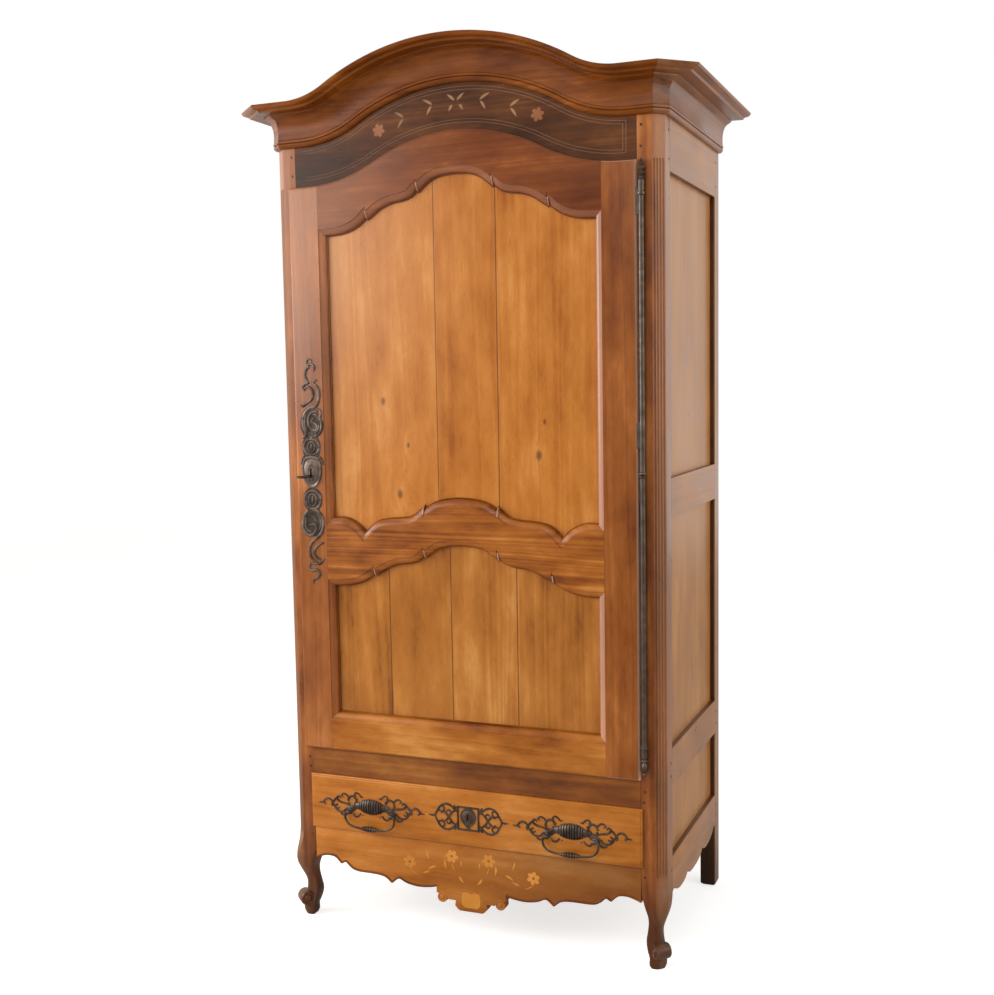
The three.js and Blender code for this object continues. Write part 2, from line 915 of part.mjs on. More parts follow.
function cleat(side, shelfBottom) {
  const top = shelfBottom - jointGap;
  return block(
    side * (panelInner - jointGap - cleatSize),
    side * (panelInner - jointGap),
    postSide + jointGap,
    rearPostY - jointGap,
    top - cleatSize,
    top,
  );
}

// Cornice section: distance out from the body and height, as shares of its
// projection and height, going up the front and down the back.
const corniceShares = [
  [0.03, 0],
  [0.08, 0.01],
  [0.13, 0.05],
  [0.145, 0.1],
  [0.12, 0.125],
  [0.155, 0.135],
  [0.155, 0.18],
  [0.135, 0.22],
  [0.13, 0.42],
  [0.16, 0.58],
  [0.23, 0.71],
  [0.39, 0.8],
  [0.4, 0.835],
  [0.76, 0.835],
  [0.8, 0.885],
  [0.845, 0.89],
  [0.95, 0.92],
  [1, 0.985],
  [0.985, 1],
];

function cornicePoints() {
  const front = corniceShares.map(([p, h]) => [p * corniceProjection, h * corniceHeight]);
  return [...front, [jointGap, corniceHeight], [jointGap, 0]];
}

function corniceFront() {
  const profile = cornicePoints();
  const corner = halfWidth - cantLeg - jointGap;
  const end = (side) => profile.map(([p, h]) => (
    new THREE.Vector3(side * (corner + p * mitreTangent), -p, corniceBase + h)
  ));
  const arch = archStations(corniceArch, crownSteps, hollowSteps);
  const along = arch.map(({ x, z, angle }) => profile.map(([p, h]) => (
    new THREE.Vector3(x + h * Math.sin(angle), -p, z + h * Math.cos(angle))
  )));
  return loft([end(-1), ...along, end(1)]);
}

function corniceSide() {
  const profile = cornicePoints();
  const away = jointGap * Math.SQRT1_2;
  return loft([
    profile.map(([p, h]) => new THREE.Vector3(
      halfWidth - cantLeg + p * mitreTangent + away,
      -p + away,
      corniceBase + h,
    )),
    profile.map(([p, h]) => new THREE.Vector3(halfWidth + p, cantLeg - p * mitreTangent, corniceBase + h)),
    profile.map(([p, h]) => new THREE.Vector3(halfWidth + p, bodyDepth, corniceBase + h)),
  ]);
}

// Door: one blank with a rounded lip is cut along the joints of its frame.
function doorOutline(left, right, bottom, inset) {
  const arch = archPoints(doorArch, -inset, crownSteps, hollowSteps).reverse();
  return [
    [left, bottom],
    [right, bottom],
    [right, doorShoulder - inset],
    ...arch,
    [left, doorShoulder - inset],
  ];
}

function ringAt(outline, y) {
  return outline.map(([x, z]) => new THREE.Vector3(x, y, z));
}

function doorBlank() {
  const sill = doorSill - doorLipEnd;
  const bodyInset = doorLipEnd + doorClearance;
  const bodyHalf = openingHalf - doorClearance;
  const body = doorOutline(-bodyHalf, bodyHalf, doorSill + doorClearance, bodyInset);
  const lip = (inset) => doorOutline(doorLeft + inset, doorRight - inset, sill + inset, inset);
  return solid(loft([
    ringAt(body, doorRear),
    ringAt(body, -jointGap),
    ringAt(lip(0), -jointGap),
    ringAt(lip(0), -doorProud + lipRound),
    ringAt(lip(lipRound * 0.3), -doorProud + lipRound * 0.3),
    ringAt(lip(lipRound), -doorProud),
  ]));
}

// Half of the shaped edge over each panel, in smooth runs from the corner to the
// crown, as shares of half the opening and of the rise.
const hoodRunShares = [
  [[1, 0], [0.88, 0.025], [0.78, 0.11], [0.72, 0.21], [0.679, 0.325]],
  [[0.664, 0.27], [0.61, 0.37], [0.57, 0.45], [0.49, 0.535], [0.4, 0.57], [0.33, 0.635], [0.281, 0.765]],
  [[0.264, 0.71], [0.22, 0.83], [0.17, 0.92], [0.1, 0.98], [0, 1]],
];

// Half of the middle rail's upper edge, as shares of half the opening and of the
// rise from its shoulder to its crown.
const saddleRunShares = [
  [[1, 0], [0.93, 0.01], [0.87, -0.08], [0.8, -0.33], [0.75, -0.64]],
  [[0.75, -0.64], [0.7, -0.32], [0.64, -0.1], [0.55, 0.01], [0.45, 0.06], [0.37, 0.18], [0.286, 0.64]],
  [[0.268, 0.54], [0.2, 0.8], [0.11, 0.95], [0, 1]],
];
const saddleRise = 53;
const runSteps = 4;

function shapedHalf(runShares, level, rise) {
  return runShares.flatMap((run, i) => {
    const points = smooth(run, runSteps);
    const next = runShares[i + 1];
    const shared = next && next[0][0] === run[run.length - 1][0];
    return shared ? points.slice(0, -1) : points;
  }).map(([x, z]) => [sightHalf * x, level + rise * z]);
}

function shapedEdge(runShares, level, rise) {
  const half = shapedHalf(runShares, level, rise);
  const left = half.map(([x, z]) => [doorCentre - x, z]);
  const right = half.slice(0, -1).reverse().map(([x, z]) => [doorCentre + x, z]);
  return [...left, ...right];
}

const upperSight = [
  ...shapedEdge(saddleRunShares, upperSightBottom, saddleRise),
  ...shapedEdge(hoodRunShares, upperSightTop, upperSightRise).reverse(),
];
const lowerSight = [
  [doorCentre - sightHalf, lowerSightBottom],
  [doorCentre + sightHalf, lowerSightBottom],
  ...shapedEdge(hoodRunShares, lowerSightTop, lowerSightRise).reverse(),
];

// The moulding round a panel: shares of its width and of its depth.
const mouldShares = [
  [0, 0],
  [0, 0.34],
  [0.5, 0.5],
  [0.76, 0.68],
  [0.86, 0.9],
  [1, 0.94],
];

function openingCutter(sight) {
  const rings = [ringAt(sight, doorRear + overrun)];
  mouldShares.forEach(([w, d]) => {
    rings.push(ringAt(grown(sight, doorMouldWidth * w), panelFace - doorMouldDepth * d));
  });
  rings.push(ringAt(grown(sight, doorMouldWidth), -doorProud - overrun));
  return solid(loft(rings));
}

function panelGroove(sight) {
  return slab(
    grown(sight, doorGroove),
    panelFace,
    panelFace + doorPanelThickness + 2 * jointGap,
  );
}

function doorPanel(sight) {
  const front = panelFace + jointGap;
  return slab(grown(sight, doorGroove - jointGap), front, front + doorPanelThickness);
}

// One stile's share of the door: its boundary steps in along the mitres.
function stileRegion(side, grow) {
  const reach = faceHalf + doorStileWidth + overrun;
  const step = 2 * doorMouldWidth;
  const low = doorSill - doorLipEnd - overrun;
  const high = doorShoulder + doorArchRise;
  const outline = [
    [reach, low],
    [reach, high],
    [faceHalf, high],
    [faceHalf, upperSightTop + doorMouldWidth],
    [faceHalf - step, upperSightTop + doorMouldWidth - step],
    [faceHalf - step, upperSightBottom - doorMouldWidth + step],
    [faceHalf, upperSightBottom - doorMouldWidth],
    [faceHalf, lowerSightTop + doorMouldWidth],
    [faceHalf - step, lowerSightTop + doorMouldWidth - step],
    [faceHalf - step, lowerSightBottom - doorMouldWidth + step],
    [faceHalf, lowerSightBottom - doorMouldWidth],
    [faceHalf, low],
  ];
  const placed = grown(outline, grow).map(([u, z]) => [doorCentre + side * u, z]);
  return slab(side < 0 ? placed.reverse() : placed, -doorProud - overrun, doorRear + overrun);
}

function doorTenon(side, low, height, grow) {
  return block(
    doorCentre + side * (faceHalf - doorMouldWidth),
    doorCentre + side * (faceHalf + doorTenonLength + grow),
    doorTenonInset - doorProud - grow,
    doorTenonInset - doorProud + doorTenonThickness + grow,
    low - grow,
    low + height + grow,
  );
}

const topTenonLow = upperSightTop + doorMouldWidth + doorGroove + overrun;
const doorTenonSpans = {
  top: [topTenonLow, topTenonHeight],
  mid: [lowerSightTop + midTenonRise, midTenonSpan],
  bottom: [doorSill + bottomTenonRise, bottomTenonSpan],
};

function keyholeCutter(front, rear) {
  const barrel = new THREE.CylinderGeometry(keyholeRadius, keyholeRadius, rear - front, 12);
  barrel.translate(keyholeX, (front + rear) / 2, lockHeight);
  const slot = block(
    keyholeX - keyholeSlot / 2,
    keyholeX + keyholeSlot / 2,
    front,
    rear,
    lockHeight,
    lockHeight + keyholeRise,
  );
  return join(solid(barrel), slot);
}

// Hinge leaves let into the door's edge and into the post's face
const leafLevels = {
  door: [hingeSplit + leafOffset, doorShoulder - leafHeight - leafOffset],
  frame: [doorSill + leafOffset, hingeSplit - leafHeight - leafOffset],
};

function doorLeaf(low, grow) {
  return block(
    hingeX - leafReach - grow,
    hingeX,
    -hingeProud - leafThickness / 2 - grow,
    -hingeProud + leafThickness / 2 + grow,
    low - grow,
    low + leafHeight + grow,
  );
}

function frameLeaf(low, grow) {
  return block(
    hingeX - leafThickness / 2 - grow,
    hingeX + leafThickness / 2 + grow,
    -hingeProud,
    leafReach - hingeProud + grow,
    low - grow,
    low + leafHeight + grow,
  );
}

function doorPieces() {
  const field = cut(
    doorBlank(),
    openingCutter(upperSight),
    openingCutter(lowerSight),
    panelGroove(upperSight),
    panelGroove(lowerSight),
  );
  const mortises = (side) => Object.values(doorTenonSpans)
    .map(([low, height]) => doorTenon(side, low, height, jointGap));
  const lock = field.intersect(stileRegion(-1, 0));
  const hinge = field.intersect(stileRegion(1, 0));
  const rails = cut(field, stileRegion(-1, jointGap), stileRegion(1, jointGap));
  const middleOf = (a, b) => (a + b) / 2;
  const upperCut = middleOf(upperSightTop, upperSightBottom);
  const lowerCut = middleOf(lowerSightTop, lowerSightBottom);
  const rail = (low, high, [tenonLow, tenonHeight]) => join(
    rails.intersect(block(-bodyWidth, bodyWidth, -bodyDepth, bodyDepth, low, high)),
    doorTenon(-1, tenonLow, tenonHeight, 0),
    doorTenon(1, tenonLow, tenonHeight, 0),
  );
  return {
    door_stile_lock: cut(lock, ...mortises(-1), keyholeCutter(-doorProud - overrun, doorRear + overrun)),
    door_stile_hinge: cut(
      hinge,
      ...mortises(1),
      ...leafLevels.door.map((low) => doorLeaf(low, jointGap)),
    ),
    door_top_rail: rail(upperCut, postTop, doorTenonSpans.top),
    door_mid_rail: rail(lowerCut, upperCut, doorTenonSpans.mid),
    door_bottom_rail: rail(0, lowerCut, doorTenonSpans.bottom),
  };
}

// Hinge: each half is turned in one piece, as height above the split against
// radius, and carries two flat leaves.
function turned(profile, sides) {
  const lathe = new THREE.LatheGeometry(profile.map(([r, z]) => new THREE.Vector2(r, z)), sides);
  lathe.rotateX(Math.PI / 2);
  return lathe;
}

// The knop at each end of the pole, from its tip inwards: shares of its length
// and of the collar's radius.
const knopShares = [
  [0, 0],
  [0.06, 0.42],
  [0.16, 0.25],
  [0.28, 0.75],
  [0.38, 0.4],
  [0.46, 0.8],
  [0.6, 1],
  [0.78, 0.5],
  [0.88, 0.9],
  [1, 0.55],
];
const knopLength = 56;
const barrelLength = 28;
const collarLength = 12;
const hingeSides = 10;

// The outside of one half from its outer tip to the joint; way is 1 upwards.
function poleOutline(tip, way) {
  const knop = knopShares.map(([length, radius]) => [
    hingeCollar * radius,
    tip - way * knopLength * length,
  ]);
  const barrelStart = tip - way * knopLength;
  const barrelEnd = barrelStart - way * barrelLength;
  const collarEnd = barrelEnd - way * collarLength;
  const joint = hingeSplit + way * hingeWasher / 2;
  return [
    ...knop,
    [hingeBarrel, barrelStart],
    [hingeBarrel, barrelEnd],
    [hingeCollar, barrelEnd - way * collarLength * 0.3],
    [hingeCollar, barrelEnd - way * collarLength * 0.7],
    [hingeRod, collarEnd],
    [hingeRod, joint + way * 2 * hingeWasher],
    [hingeCollar, joint + way * hingeWasher],
    [hingeCollar, joint],
  ];
}

function hingeHalf(upper) {
  const way = upper ? 1 : -1;
  const tip = upper ? hingeTop : hingeBottom;
  const joint = hingeSplit + way * hingeWasher / 2;
  const bore = hingePinRadius + jointGap;
  const end = upper
    ? [[bore, joint], [bore, joint + hingePinLength], [0, joint + hingePinLength]]
    : [
      [hingePinRadius, joint],
      [hingePinRadius, hingeSplit + hingePinLength],
      [0, hingeSplit + hingePinLength],
    ];
  const outline = [...poleOutline(tip, way), ...end];
  const pole = solid(turned(upper ? outline.reverse() : outline, hingeSides));
  const levels = upper ? leafLevels.door : leafLevels.frame;
  const leaf = upper ? doorLeaf : frameLeaf;
  const placed = pole.translate([hingeX, -hingeProud, 0]);
  const whole = join(placed, ...levels.map((low) => leaf(low, 0)));
  if (!upper) return whole;
  const clear = new THREE.CylinderGeometry(bore, bore, hingePinLength + overrun, hingeSides);
  clear.rotateX(Math.PI / 2);
  clear.translate(hingeX, -hingeProud, joint + (hingePinLength - overrun) / 2);
  return cut(whole, solid(clear));
}

// Lock
const lockLeft = lockEdgeGap + doorClearance - openingHalf;
const lockFront = doorRear + jointGap;

function boltBlock(grow, reach) {
  const y = lockFront + (lockDeep - lockWall - boltThick) / 2;
  return block(
    lockLeft - reach,
    lockLeft + boltLength,
    y - grow,
    y + boltThick + grow,
    lockHeight + boltRise - grow,
    lockHeight + boltRise + boltTall + grow,
  );
}

function lockCase() {
  const low = lockHeight - lockTall / 2;
  const box = block(lockLeft, lockLeft + lockWidth, lockFront, lockFront + lockDeep, low, low + lockTall);
  const room = block(
    lockLeft + lockWall,
    lockLeft + lockWidth - lockWall,
    lockFront - overrun,
    lockFront + lockDeep - lockWall,
    low + lockWall,
    low + lockTall - lockWall,
  );
  return cut(box, room, boltBlock(jointGap, overrun));
}

function boltMortise() {
  return boltBlock(2 * jointGap, openingHalf + lockLeft + boltTravel + 2 * jointGap);
}

function key() {
  const tip = lockFront + lockDeep - lockWall - jointGap;
  const bowCentre = -doorProud - keyReach;
  const shankStart = bowCentre + keyBowDepth / 2 - keyBowBar / 2;
  const shank = new THREE.CylinderGeometry(keyShank, keyShank, tip - shankStart, 8);
  shank.translate(keyholeX, (tip + shankStart) / 2, lockHeight);
  const collar = new THREE.CylinderGeometry(keyShank * 1.7, keyShank * 1.4, keyShank * 2, 8);
  collar.translate(keyholeX, shankStart + keyShank * 2, lockHeight);
  const bow = shapeOf(ellipse(keyholeX, bowCentre, keyBowWidth / 2, keyBowDepth / 2, 14));
  const eye = ellipse(keyholeX, bowCentre, keyBowWidth / 2 - keyBowBar, keyBowDepth / 2 - keyBowBar, 12);
  bow.holes.push(new THREE.Path(eye.map(([a, b]) => new THREE.Vector2(a, b))));
  const ring = new THREE.ExtrudeGeometry(bow, { depth: keyBowBar, bevelEnabled: false });
  ring.translate(0, 0, lockHeight - keyBowBar / 2);
  const bit = block(
    keyholeX,
    keyholeX + keyBit,
    tip - boltThick,
    tip,
    lockHeight - keyBitThick / 2,
    lockHeight + keyBitThick / 2,
  );
  return join(solid(shank), solid(collar), solid(ring), bit);
}

// Iron straps: a flat band of even width along a smooth run of points.
const strapSteps = 6;

function strap(points, width, thickness) {
  const line = smooth(points, strapSteps);
  const sides = [1, -1].map((way) => line.map(([x, z], i) => {
    const before = line[Math.max(i - 1, 0)];
    const after = line[Math.min(i + 1, line.length - 1)];
    const across = new THREE.Vector2(before[1] - after[1], after[0] - before[0]).normalize();
    return [x + (across.x * width * way) / 2, z + (across.y * width * way) / 2];
  }));
  return slab([...sides[0], ...sides[1].reverse()], -thickness, 0);
}

const discSides = 10;

function disc(x, z, halfX, halfZ, thickness) {
  return slab(ellipse(x, z, halfX, halfZ, discSides), -thickness, 0);
}

// Each mount is drawn round its own middle in shares of its half sizes, on the
// plane of the wood, and then set in place.
function scaled(shares, halfX, halfZ) {
  return shares.map(([x, z]) => [x * halfX, z * halfZ]);
}

// A hole through a plate, drawn like a disc.
function piercing(x, z, halfX, halfZ) {
  return slab(ellipse(x, z, halfX, halfZ, discSides), -overrun, overrun);
}

// The long door plate's upper half; its lower half is the same one turned over.
const doorStrapShares = [
  [[0, 0.935], [-0.34, 0.88], [-0.3, 0.83], [-0.12, 0.755]],
  [[-0.5, 0.735], [-0.1, 0.755], [0.3, 0.7], [0.26, 0.65], [-0.1, 0.62], [-0.6, 0.575]],
  [[0.3, 0.81], [0.56, 0.76], [0.78, 0.69], [0.68, 0.635], [0.45, 0.575]],
  [[0.5, 0.585], [-0.26, 0.55], [-0.56, 0.49], [-0.68, 0.42], [-0.55, 0.35], [-0.2, 0.3]],
  [[0.1, 0.47], [-0.12, 0.5], [-0.22, 0.455], [-0.05, 0.4], [0.3, 0.37], [0.35, 0.31]],
  [[0.45, 0.6], [0.74, 0.55], [0.66, 0.49], [0.92, 0.42], [0.86, 0.345], [0.4, 0.28]],
];

function doorPlate() {
  const ringZ = doorPlateHalf * 0.965;
  const ovalZ = doorPlateHalf * 0.215;
  const half = join(
    ...doorStrapShares.map((run) => (
      strap(scaled(run, doorPlateHalfWidth, doorPlateHalf), strapWidth, plateThickness)
    )),
    disc(0, ringZ, strapWidth * 1.4, doorPlateHalf * 0.035, plateThickness),
    disc(doorPlateHalfWidth * 0.1, doorPlateHalf * 0.6, strapWidth, strapWidth * 1.5, plateThickness),
    disc(0, ovalZ, doorPlateHalfWidth * 0.8, doorPlateHalf * 0.11, plateThickness),
  );
  const pierced = cut(
    half,
    piercing(0, ringZ, strapWidth * 0.5, strapWidth * 0.6),
    piercing(doorPlateHalfWidth * 0.12, ovalZ, strapWidth, doorPlateHalf * 0.065),
  );
  const centre = disc(0, 0, doorPlateHalfWidth * 0.86, doorPlateHalf * 0.155, plateThickness);
  const face = -doorProud - jointGap;
  const whole = join(centre, pierced, pierced.rotate([0, 180, 0]));
  const placed = whole.translate([keyholeX, face, lockHeight + doorPlateRise]);
  return cut(placed, keyholeCutter(face - plateThickness - overrun, face + overrun));
}

// The drawer's key plate: a frame with a boss, and on each side a wing of two
// loops that close to a pointed tail. The runs are those of one quarter.
const quarterShares = [
  [[0.2, 0.62], [0.42, 0.34], [0.48, 0.7], [0.64, 0.9], [0.77, 0.5], [0.87, 0]],
  [[0.3, 0.5], [0.44, 0.2], [0.56, 0.14], [0.64, 0.42]],
];
const frameHalfShare = 0.24;
const fretWidth = 4;

function bar(halfX, halfZ, thickness) {
  return slab([
    [-halfX, -halfZ],
    [halfX, -halfZ],
    [halfX, halfZ],
    [-halfX, halfZ],
  ], -thickness, 0);
}

function drawerPlate() {
  const frameHalf = drawerPlateHalf * frameHalfShare;
  const high = drawerPlateHalfHeight;
  const inner = frameHalf - fretWidth;
  const innerHigh = high - fretWidth;
  const frame = bar(frameHalf, high, plateThickness);
  const window = bar(inner, innerHigh, 2 * overrun).translate([0, overrun, 0]);
  const boss = disc(0, 0, inner * 0.76, innerHigh * 0.66, plateThickness * 2);
  const spine = bar(fretWidth / 2, innerHigh + fretWidth / 2, plateThickness);
  const wings = [-1, 1].flatMap((side) => {
    const runs = [-1, 1].flatMap((way) => quarterShares.map((run) => strap(
      scaled(run, side * drawerPlateHalf, way * high),
      fretWidth,
      plateThickness,
    )));
    const tail = slab(scaled([
      [0.84 * side, -0.12],
      [side, 0],
      [0.84 * side, 0.12],
    ], drawerPlateHalf, high), -plateThickness, 0);
    const knob = disc(side * drawerPlateHalf * 0.92, 0, fretWidth * 0.8, fretWidth, plateThickness);
    return [...runs, tail, knob];
  });
  const whole = join(cut(frame, window), boss, spine, ...wings);
  const slot = piercing(0, 0, keyholeSlot / 2, keyholeRadius * 1.5);
  return cut(whole, slot).translate([0, -drawerProud - jointGap, mountsHeight]);
}

// Each pull plate: a bossed lozenge, rings over the two ears and curled wings.
const wingShares = [
  [[0.3, 0.5], [0.42, 0.85], [0.56, 0.8], [0.66, 0.35], [0.62, 0]],
  [[0.3, -0.3], [0.45, -0.75], [0.6, -0.5], [0.68, 0.05], [0.78, 0.4], [0.87, 0]],
  [[0.84, 0.25], [0.87, -0.1], [0.93, -0.15], [1, 0.15]],
];
const lozengeShares = [
  [-0.3, 0],
  [-0.25, 0.75],
  [0, 1],
  [0.25, 0.75],
  [0.3, 0],
  [0.25, -0.75],
  [0, -1],
  [-0.25, -0.75],
];
const earX = bailHalf - bailWire - jointGap - earThickness / 2;
const ringX = earX * 0.86;
const ringHalf = 15;

function ear(side, grow) {
  const post = new THREE.CylinderGeometry(earRadius, earRadius, earThickness + grow, 12);
  post.rotateZ(Math.PI / 2);
  post.translate(side * earX, -plateThickness - bailPivotReach, -bailPivotDrop);
  return solid(post);
}

function pullPlate() {
  const centre = slab(
    scaled(lozengeShares, pullPlateHalf, pullPlateHalfHeight),
    -plateThickness,
    0,
  );
  const rise = loft([0, 1].map((step) => scaled(
    lozengeShares,
    pullPlateHalf * (0.8 - 0.4 * step),
    pullPlateHalfHeight * (0.75 - 0.4 * step),
  ).map(([x, z]) => new THREE.Vector3(x, -plateThickness * (0.5 + 1.7 * step), z))));
  const wings = [-1, 1].flatMap((side) => {
    const ring = disc(side * ringX, pullPlateHalfHeight * 0.3, ringHalf, ringHalf, plateThickness);
    const straps = wingShares.map((run) => strap(
      scaled(run, side * pullPlateHalf, pullPlateHalfHeight),
      fretWidth,
      plateThickness,
    ));
    const stem = block(
      side * (earX - earThickness / 2),
      side * (earX + earThickness / 2),
      -plateThickness - bailPivotReach,
      -plateThickness / 2,
      -bailPivotDrop - earRadius,
      -bailPivotDrop + earRadius,
    );
    return [ring, ...straps, stem, ear(side, 0)];
  });
  const piercings = [-1, 1].map((side) => (
    piercing(side * ringX, pullPlateHalfHeight * 0.35, ringHalf / 2, ringHalf / 2)
  ));
  const pins = new THREE.CylinderGeometry(bailWire, bailWire, 2 * bailHalf, 10);
  pins.scale(1 + jointGap / bailWire, 1, 1 + jointGap / bailWire);
  pins.rotateZ(Math.PI / 2);
  pins.translate(0, -plateThickness - bailPivotReach, -bailPivotDrop);
  return cut(join(centre, solid(rise), ...wings), ...piercings, solid(pins));
}

// The bail: its ends turn inwards into the ears, and a turned grip fills its middle.
const bailShares = [
  [1, 0],
  [1.03, 0.3],
  [0.98, 0.65],
  [0.8, 0.88],
  [0.5, 0.97],
  [0.2, 1],
];
const gripShares = [
  [0, -1],
  [0.6, -0.95],
  [0.72, -0.78],
  [0.5, -0.64],
  [0.82, -0.52],
  [0.6, -0.38],
  [1, -0.14],
  [1, 0.14],
  [0.6, 0.38],
  [0.82, 0.52],
  [0.5, 0.64],
  [0.72, 0.78],
  [0.6, 0.95],
  [0, 1],
];

function bail() {
  const section = shapeOf(ellipse(0, 0, bailWire, bailWire, 6));
  const half = bailShares.map(([x, z]) => new THREE.Vector3(bailHalf * x, 0, -bailDrop * z));
  const path = new THREE.CatmullRomCurve3([
    ...half,
    ...half.map((p) => new THREE.Vector3(-p.x, p.y, p.z)).reverse(),
  ]);
  const wire = new THREE.ExtrudeGeometry(section, { steps: 16, bevelEnabled: false, extrudePath: path });
  const grip = new THREE.LatheGeometry(
    gripShares.map(([r, length]) => new THREE.Vector2(gripRadius * r, gripHalf * length)),
    8,
  );
  grip.rotateZ(Math.PI / 2);
  grip.translate(0, 0, -bailDrop);
  const pins = [-1, 1].map((side) => {
    const pin = new THREE.CylinderGeometry(bailWire, bailWire, earThickness + 2 * bailWire, 8);
    pin.rotateZ(Math.PI / 2);
    pin.translate(side * (bailHalf - earThickness / 2), 0, 0);
    return solid(pin);
  });
  return join(solid(wire), solid(grip), ...pins);
}

// Drawer
function drawerOutline(inset, half, low, high) {
  return [
    [-half + inset, low + inset],
    [half - inset, low + inset],
    [half - inset, high - inset],
    [-half + inset, high - inset],
  ];
}

const drawerHalf = openingHalf - drawerClearance;
const drawerFloor = drawerSill + jointGap;
const tailPitch = drawerSideHeight / tailCount;

// A dovetail's side view, from its neck at the front's rear face to its wide end.
function tail(side, index, grow) {
  const middle = drawerFloor + drawerClearance + tailPitch * (index + 0.5);
  const neck = tailWidth / 2 - tailFlare + grow;
  const wide = tailWidth / 2 + grow;
  const rear = drawerFrontThickness + overrun;
  const outline = [
    [drawerLap - grow, middle - wide],
    [drawerFrontThickness, middle - neck],
    [rear, middle - neck],
    [rear, middle + neck],
    [drawerFrontThickness, middle + neck],
    [drawerLap - grow, middle + wide],
  ];
  const inner = drawerHalf - drawerSideThickness - grow;
  return sidePiece(outline, side * inner, side * (drawerHalf + grow * 3));
}

function drawerBottomCutter() {
  return block(
    -(drawerHalf - drawerSideThickness + drawerGroove),
    drawerHalf - drawerSideThickness + drawerGroove,
    drawerFrontThickness - drawerGroove,
    drawerLength + overrun,
    drawerFloor + drawerBottomRise - jointGap,
    drawerFloor + drawerBottomRise + drawerBottomThickness + jointGap,
  );
}

function drawerFront() {
  const lipHalf = openingHalf + drawerLipSide;
  const lipLow = drawerSill - drawerLipEnd;
  const lipHigh = drawerHead + drawerLipEnd;
  const lip = (inset) => drawerOutline(inset, lipHalf, lipLow, lipHigh);
  const body = drawerOutline(
    0,
    drawerHalf,
    drawerSill + drawerClearance,
    drawerHead - drawerClearance,
  );
  const whole = solid(loft([
    ringAt(body, drawerFrontThickness),
    ringAt(body, -jointGap),
    ringAt(lip(0), -jointGap),
    ringAt(lip(0), -drawerProud / 2),
    ringAt(lip(drawerProud / 4), -drawerProud * 0.8),
    ringAt(lip(drawerProud * 0.75), -drawerProud),
  ]));
  const sockets = [-1, 1].flatMap((side) => (
    Array.from({ length: tailCount }, (_, i) => tail(side, i, jointGap))
  ));
  const keyhole = new THREE.CylinderGeometry(keyholeRadius, keyholeRadius, 2 * bodyDepth / 10, 10);
  keyhole.translate(0, 0, mountsHeight);
  return cut(whole, ...sockets, drawerBottomCutter(), solid(keyhole));
}

function drawerSide(side) {
  const low = drawerFloor;
  const plank = block(
    side * (drawerHalf - drawerSideThickness),
    side * drawerHalf,
    drawerFrontThickness + jointGap,
    drawerLength,
    low,
    low + drawerClearance + drawerSideHeight,
  );
  const tails = Array.from({ length: tailCount }, (_, i) => tail(side, i, 0));
  return cut(join(plank, ...tails), drawerBottomCutter());
}

function drawerBack() {
  const half = drawerHalf - drawerSideThickness - jointGap;
  return block(
    -half,
    half,
    drawerLength - drawerSideThickness,
    drawerLength,
    drawerFloor + drawerBottomRise + drawerBottomThickness + jointGap,
    drawerFloor + drawerSideHeight,
  );
}

function drawerBottom() {
  const half = drawerHalf - drawerSideThickness + drawerGroove - jointGap;
  return block(
    -half,
    half,
    drawerFrontThickness - drawerGroove + jointGap,
    drawerLength,
    drawerFloor + drawerBottomRise,
    drawerFloor + drawerBottomRise + drawerBottomThickness,
  );
}

function drawerRunner(side) {
  const outer = railInner - jointGap;
  const y0 = postSide + jointGap;
  const y1 = rearPostY - jointGap;
  const guideInner = drawerHalf + guidePlay;
  const guideTop = drawerSill + guideHeight;
  return join(
    block(side * (outer - runnerWidth), side * outer, y0, y1, drawerSill - runnerDepth, drawerSill),
    block(side * guideInner, side * outer, y0, y1, drawerSill - jointGap, guideTop),
  );
}

// Assembly
const cabinet = new THREE.Group();
cabinet.position.y = -(bodyDepth - corniceProjection) / 2;
const carcass = new THREE.Group();
const door = new THREE.Group();
const drawer = new THREE.Group();
cabinet.add(carcass, door, drawer);

function place(group, name, body, material) {
  const geometry = body.isBufferGeometry ? body : geometryOf(body);
  const mesh = new THREE.Mesh(geometry, material);
  mesh.name = name;
  group.add(mesh);
  return mesh;
}

const shelfHeights = { lower: floorTop + lowerShelfRise, upper: floorTop + upperShelfRise };
const sides = { left: -1, right: 1 };
for (const [word, side] of Object.entries(sides)) {
  const extra = side < 0
    ? [boltMortise()]
    : leafLevels.frame.map((low) => frameLeaf(low, jointGap));
  place(carcass, `front_post_${word}`, cut(frontPost(side), ...extra), walnut);
  place(carcass, `rear_post_${word}`, rearPost(side), paleWood);
  const top = cut(
    sideRail(side, sideRails.top, [topRailBottom]),
    boardGroove(side, ceilingHeight, ceilingThickness),
  );
  const low = cut(
    sideRail(side, sideRails.low, sideRails.low),
    boardGroove(side, floorTop - floorThickness, floorThickness),
  );
  place(carcass, `side_top_rail_${word}`, top, paleWood);
  place(carcass, `side_mid_rail_${word}`, sideRail(side, sideRails.mid, sideRails.mid), paleWood);
  place(carcass, `side_low_rail_${word}`, low, paleWood);
  place(carcass, `side_apron_${word}`, sideApron(side), paleWood);
  place(carcass, `side_panel_upper_${word}`, sidePanel(side, midRailTop, topRailBottom), paleWood);
  place(carcass, `side_panel_middle_${word}`, sidePanel(side, lowRailTop, midRailBottom), paleWood);
  place(carcass, `side_panel_lower_${word}`, sidePanel(side, sideApronTop, lowRailBottom), paleWood);
  for (const [level, height] of Object.entries(shelfHeights)) {
    place(carcass, `shelf_cleat_${level}_${word}`, cleat(side, height - shelfThickness), insideWood);
  }
  place(carcass, `drawer_runner_${word}`, drawerRunner(side), insideWood);
  const moulding = corniceSide();
  place(carcass, `cornice_side_${word}`, side < 0 ? mirrored(moulding) : moulding, walnut);
}

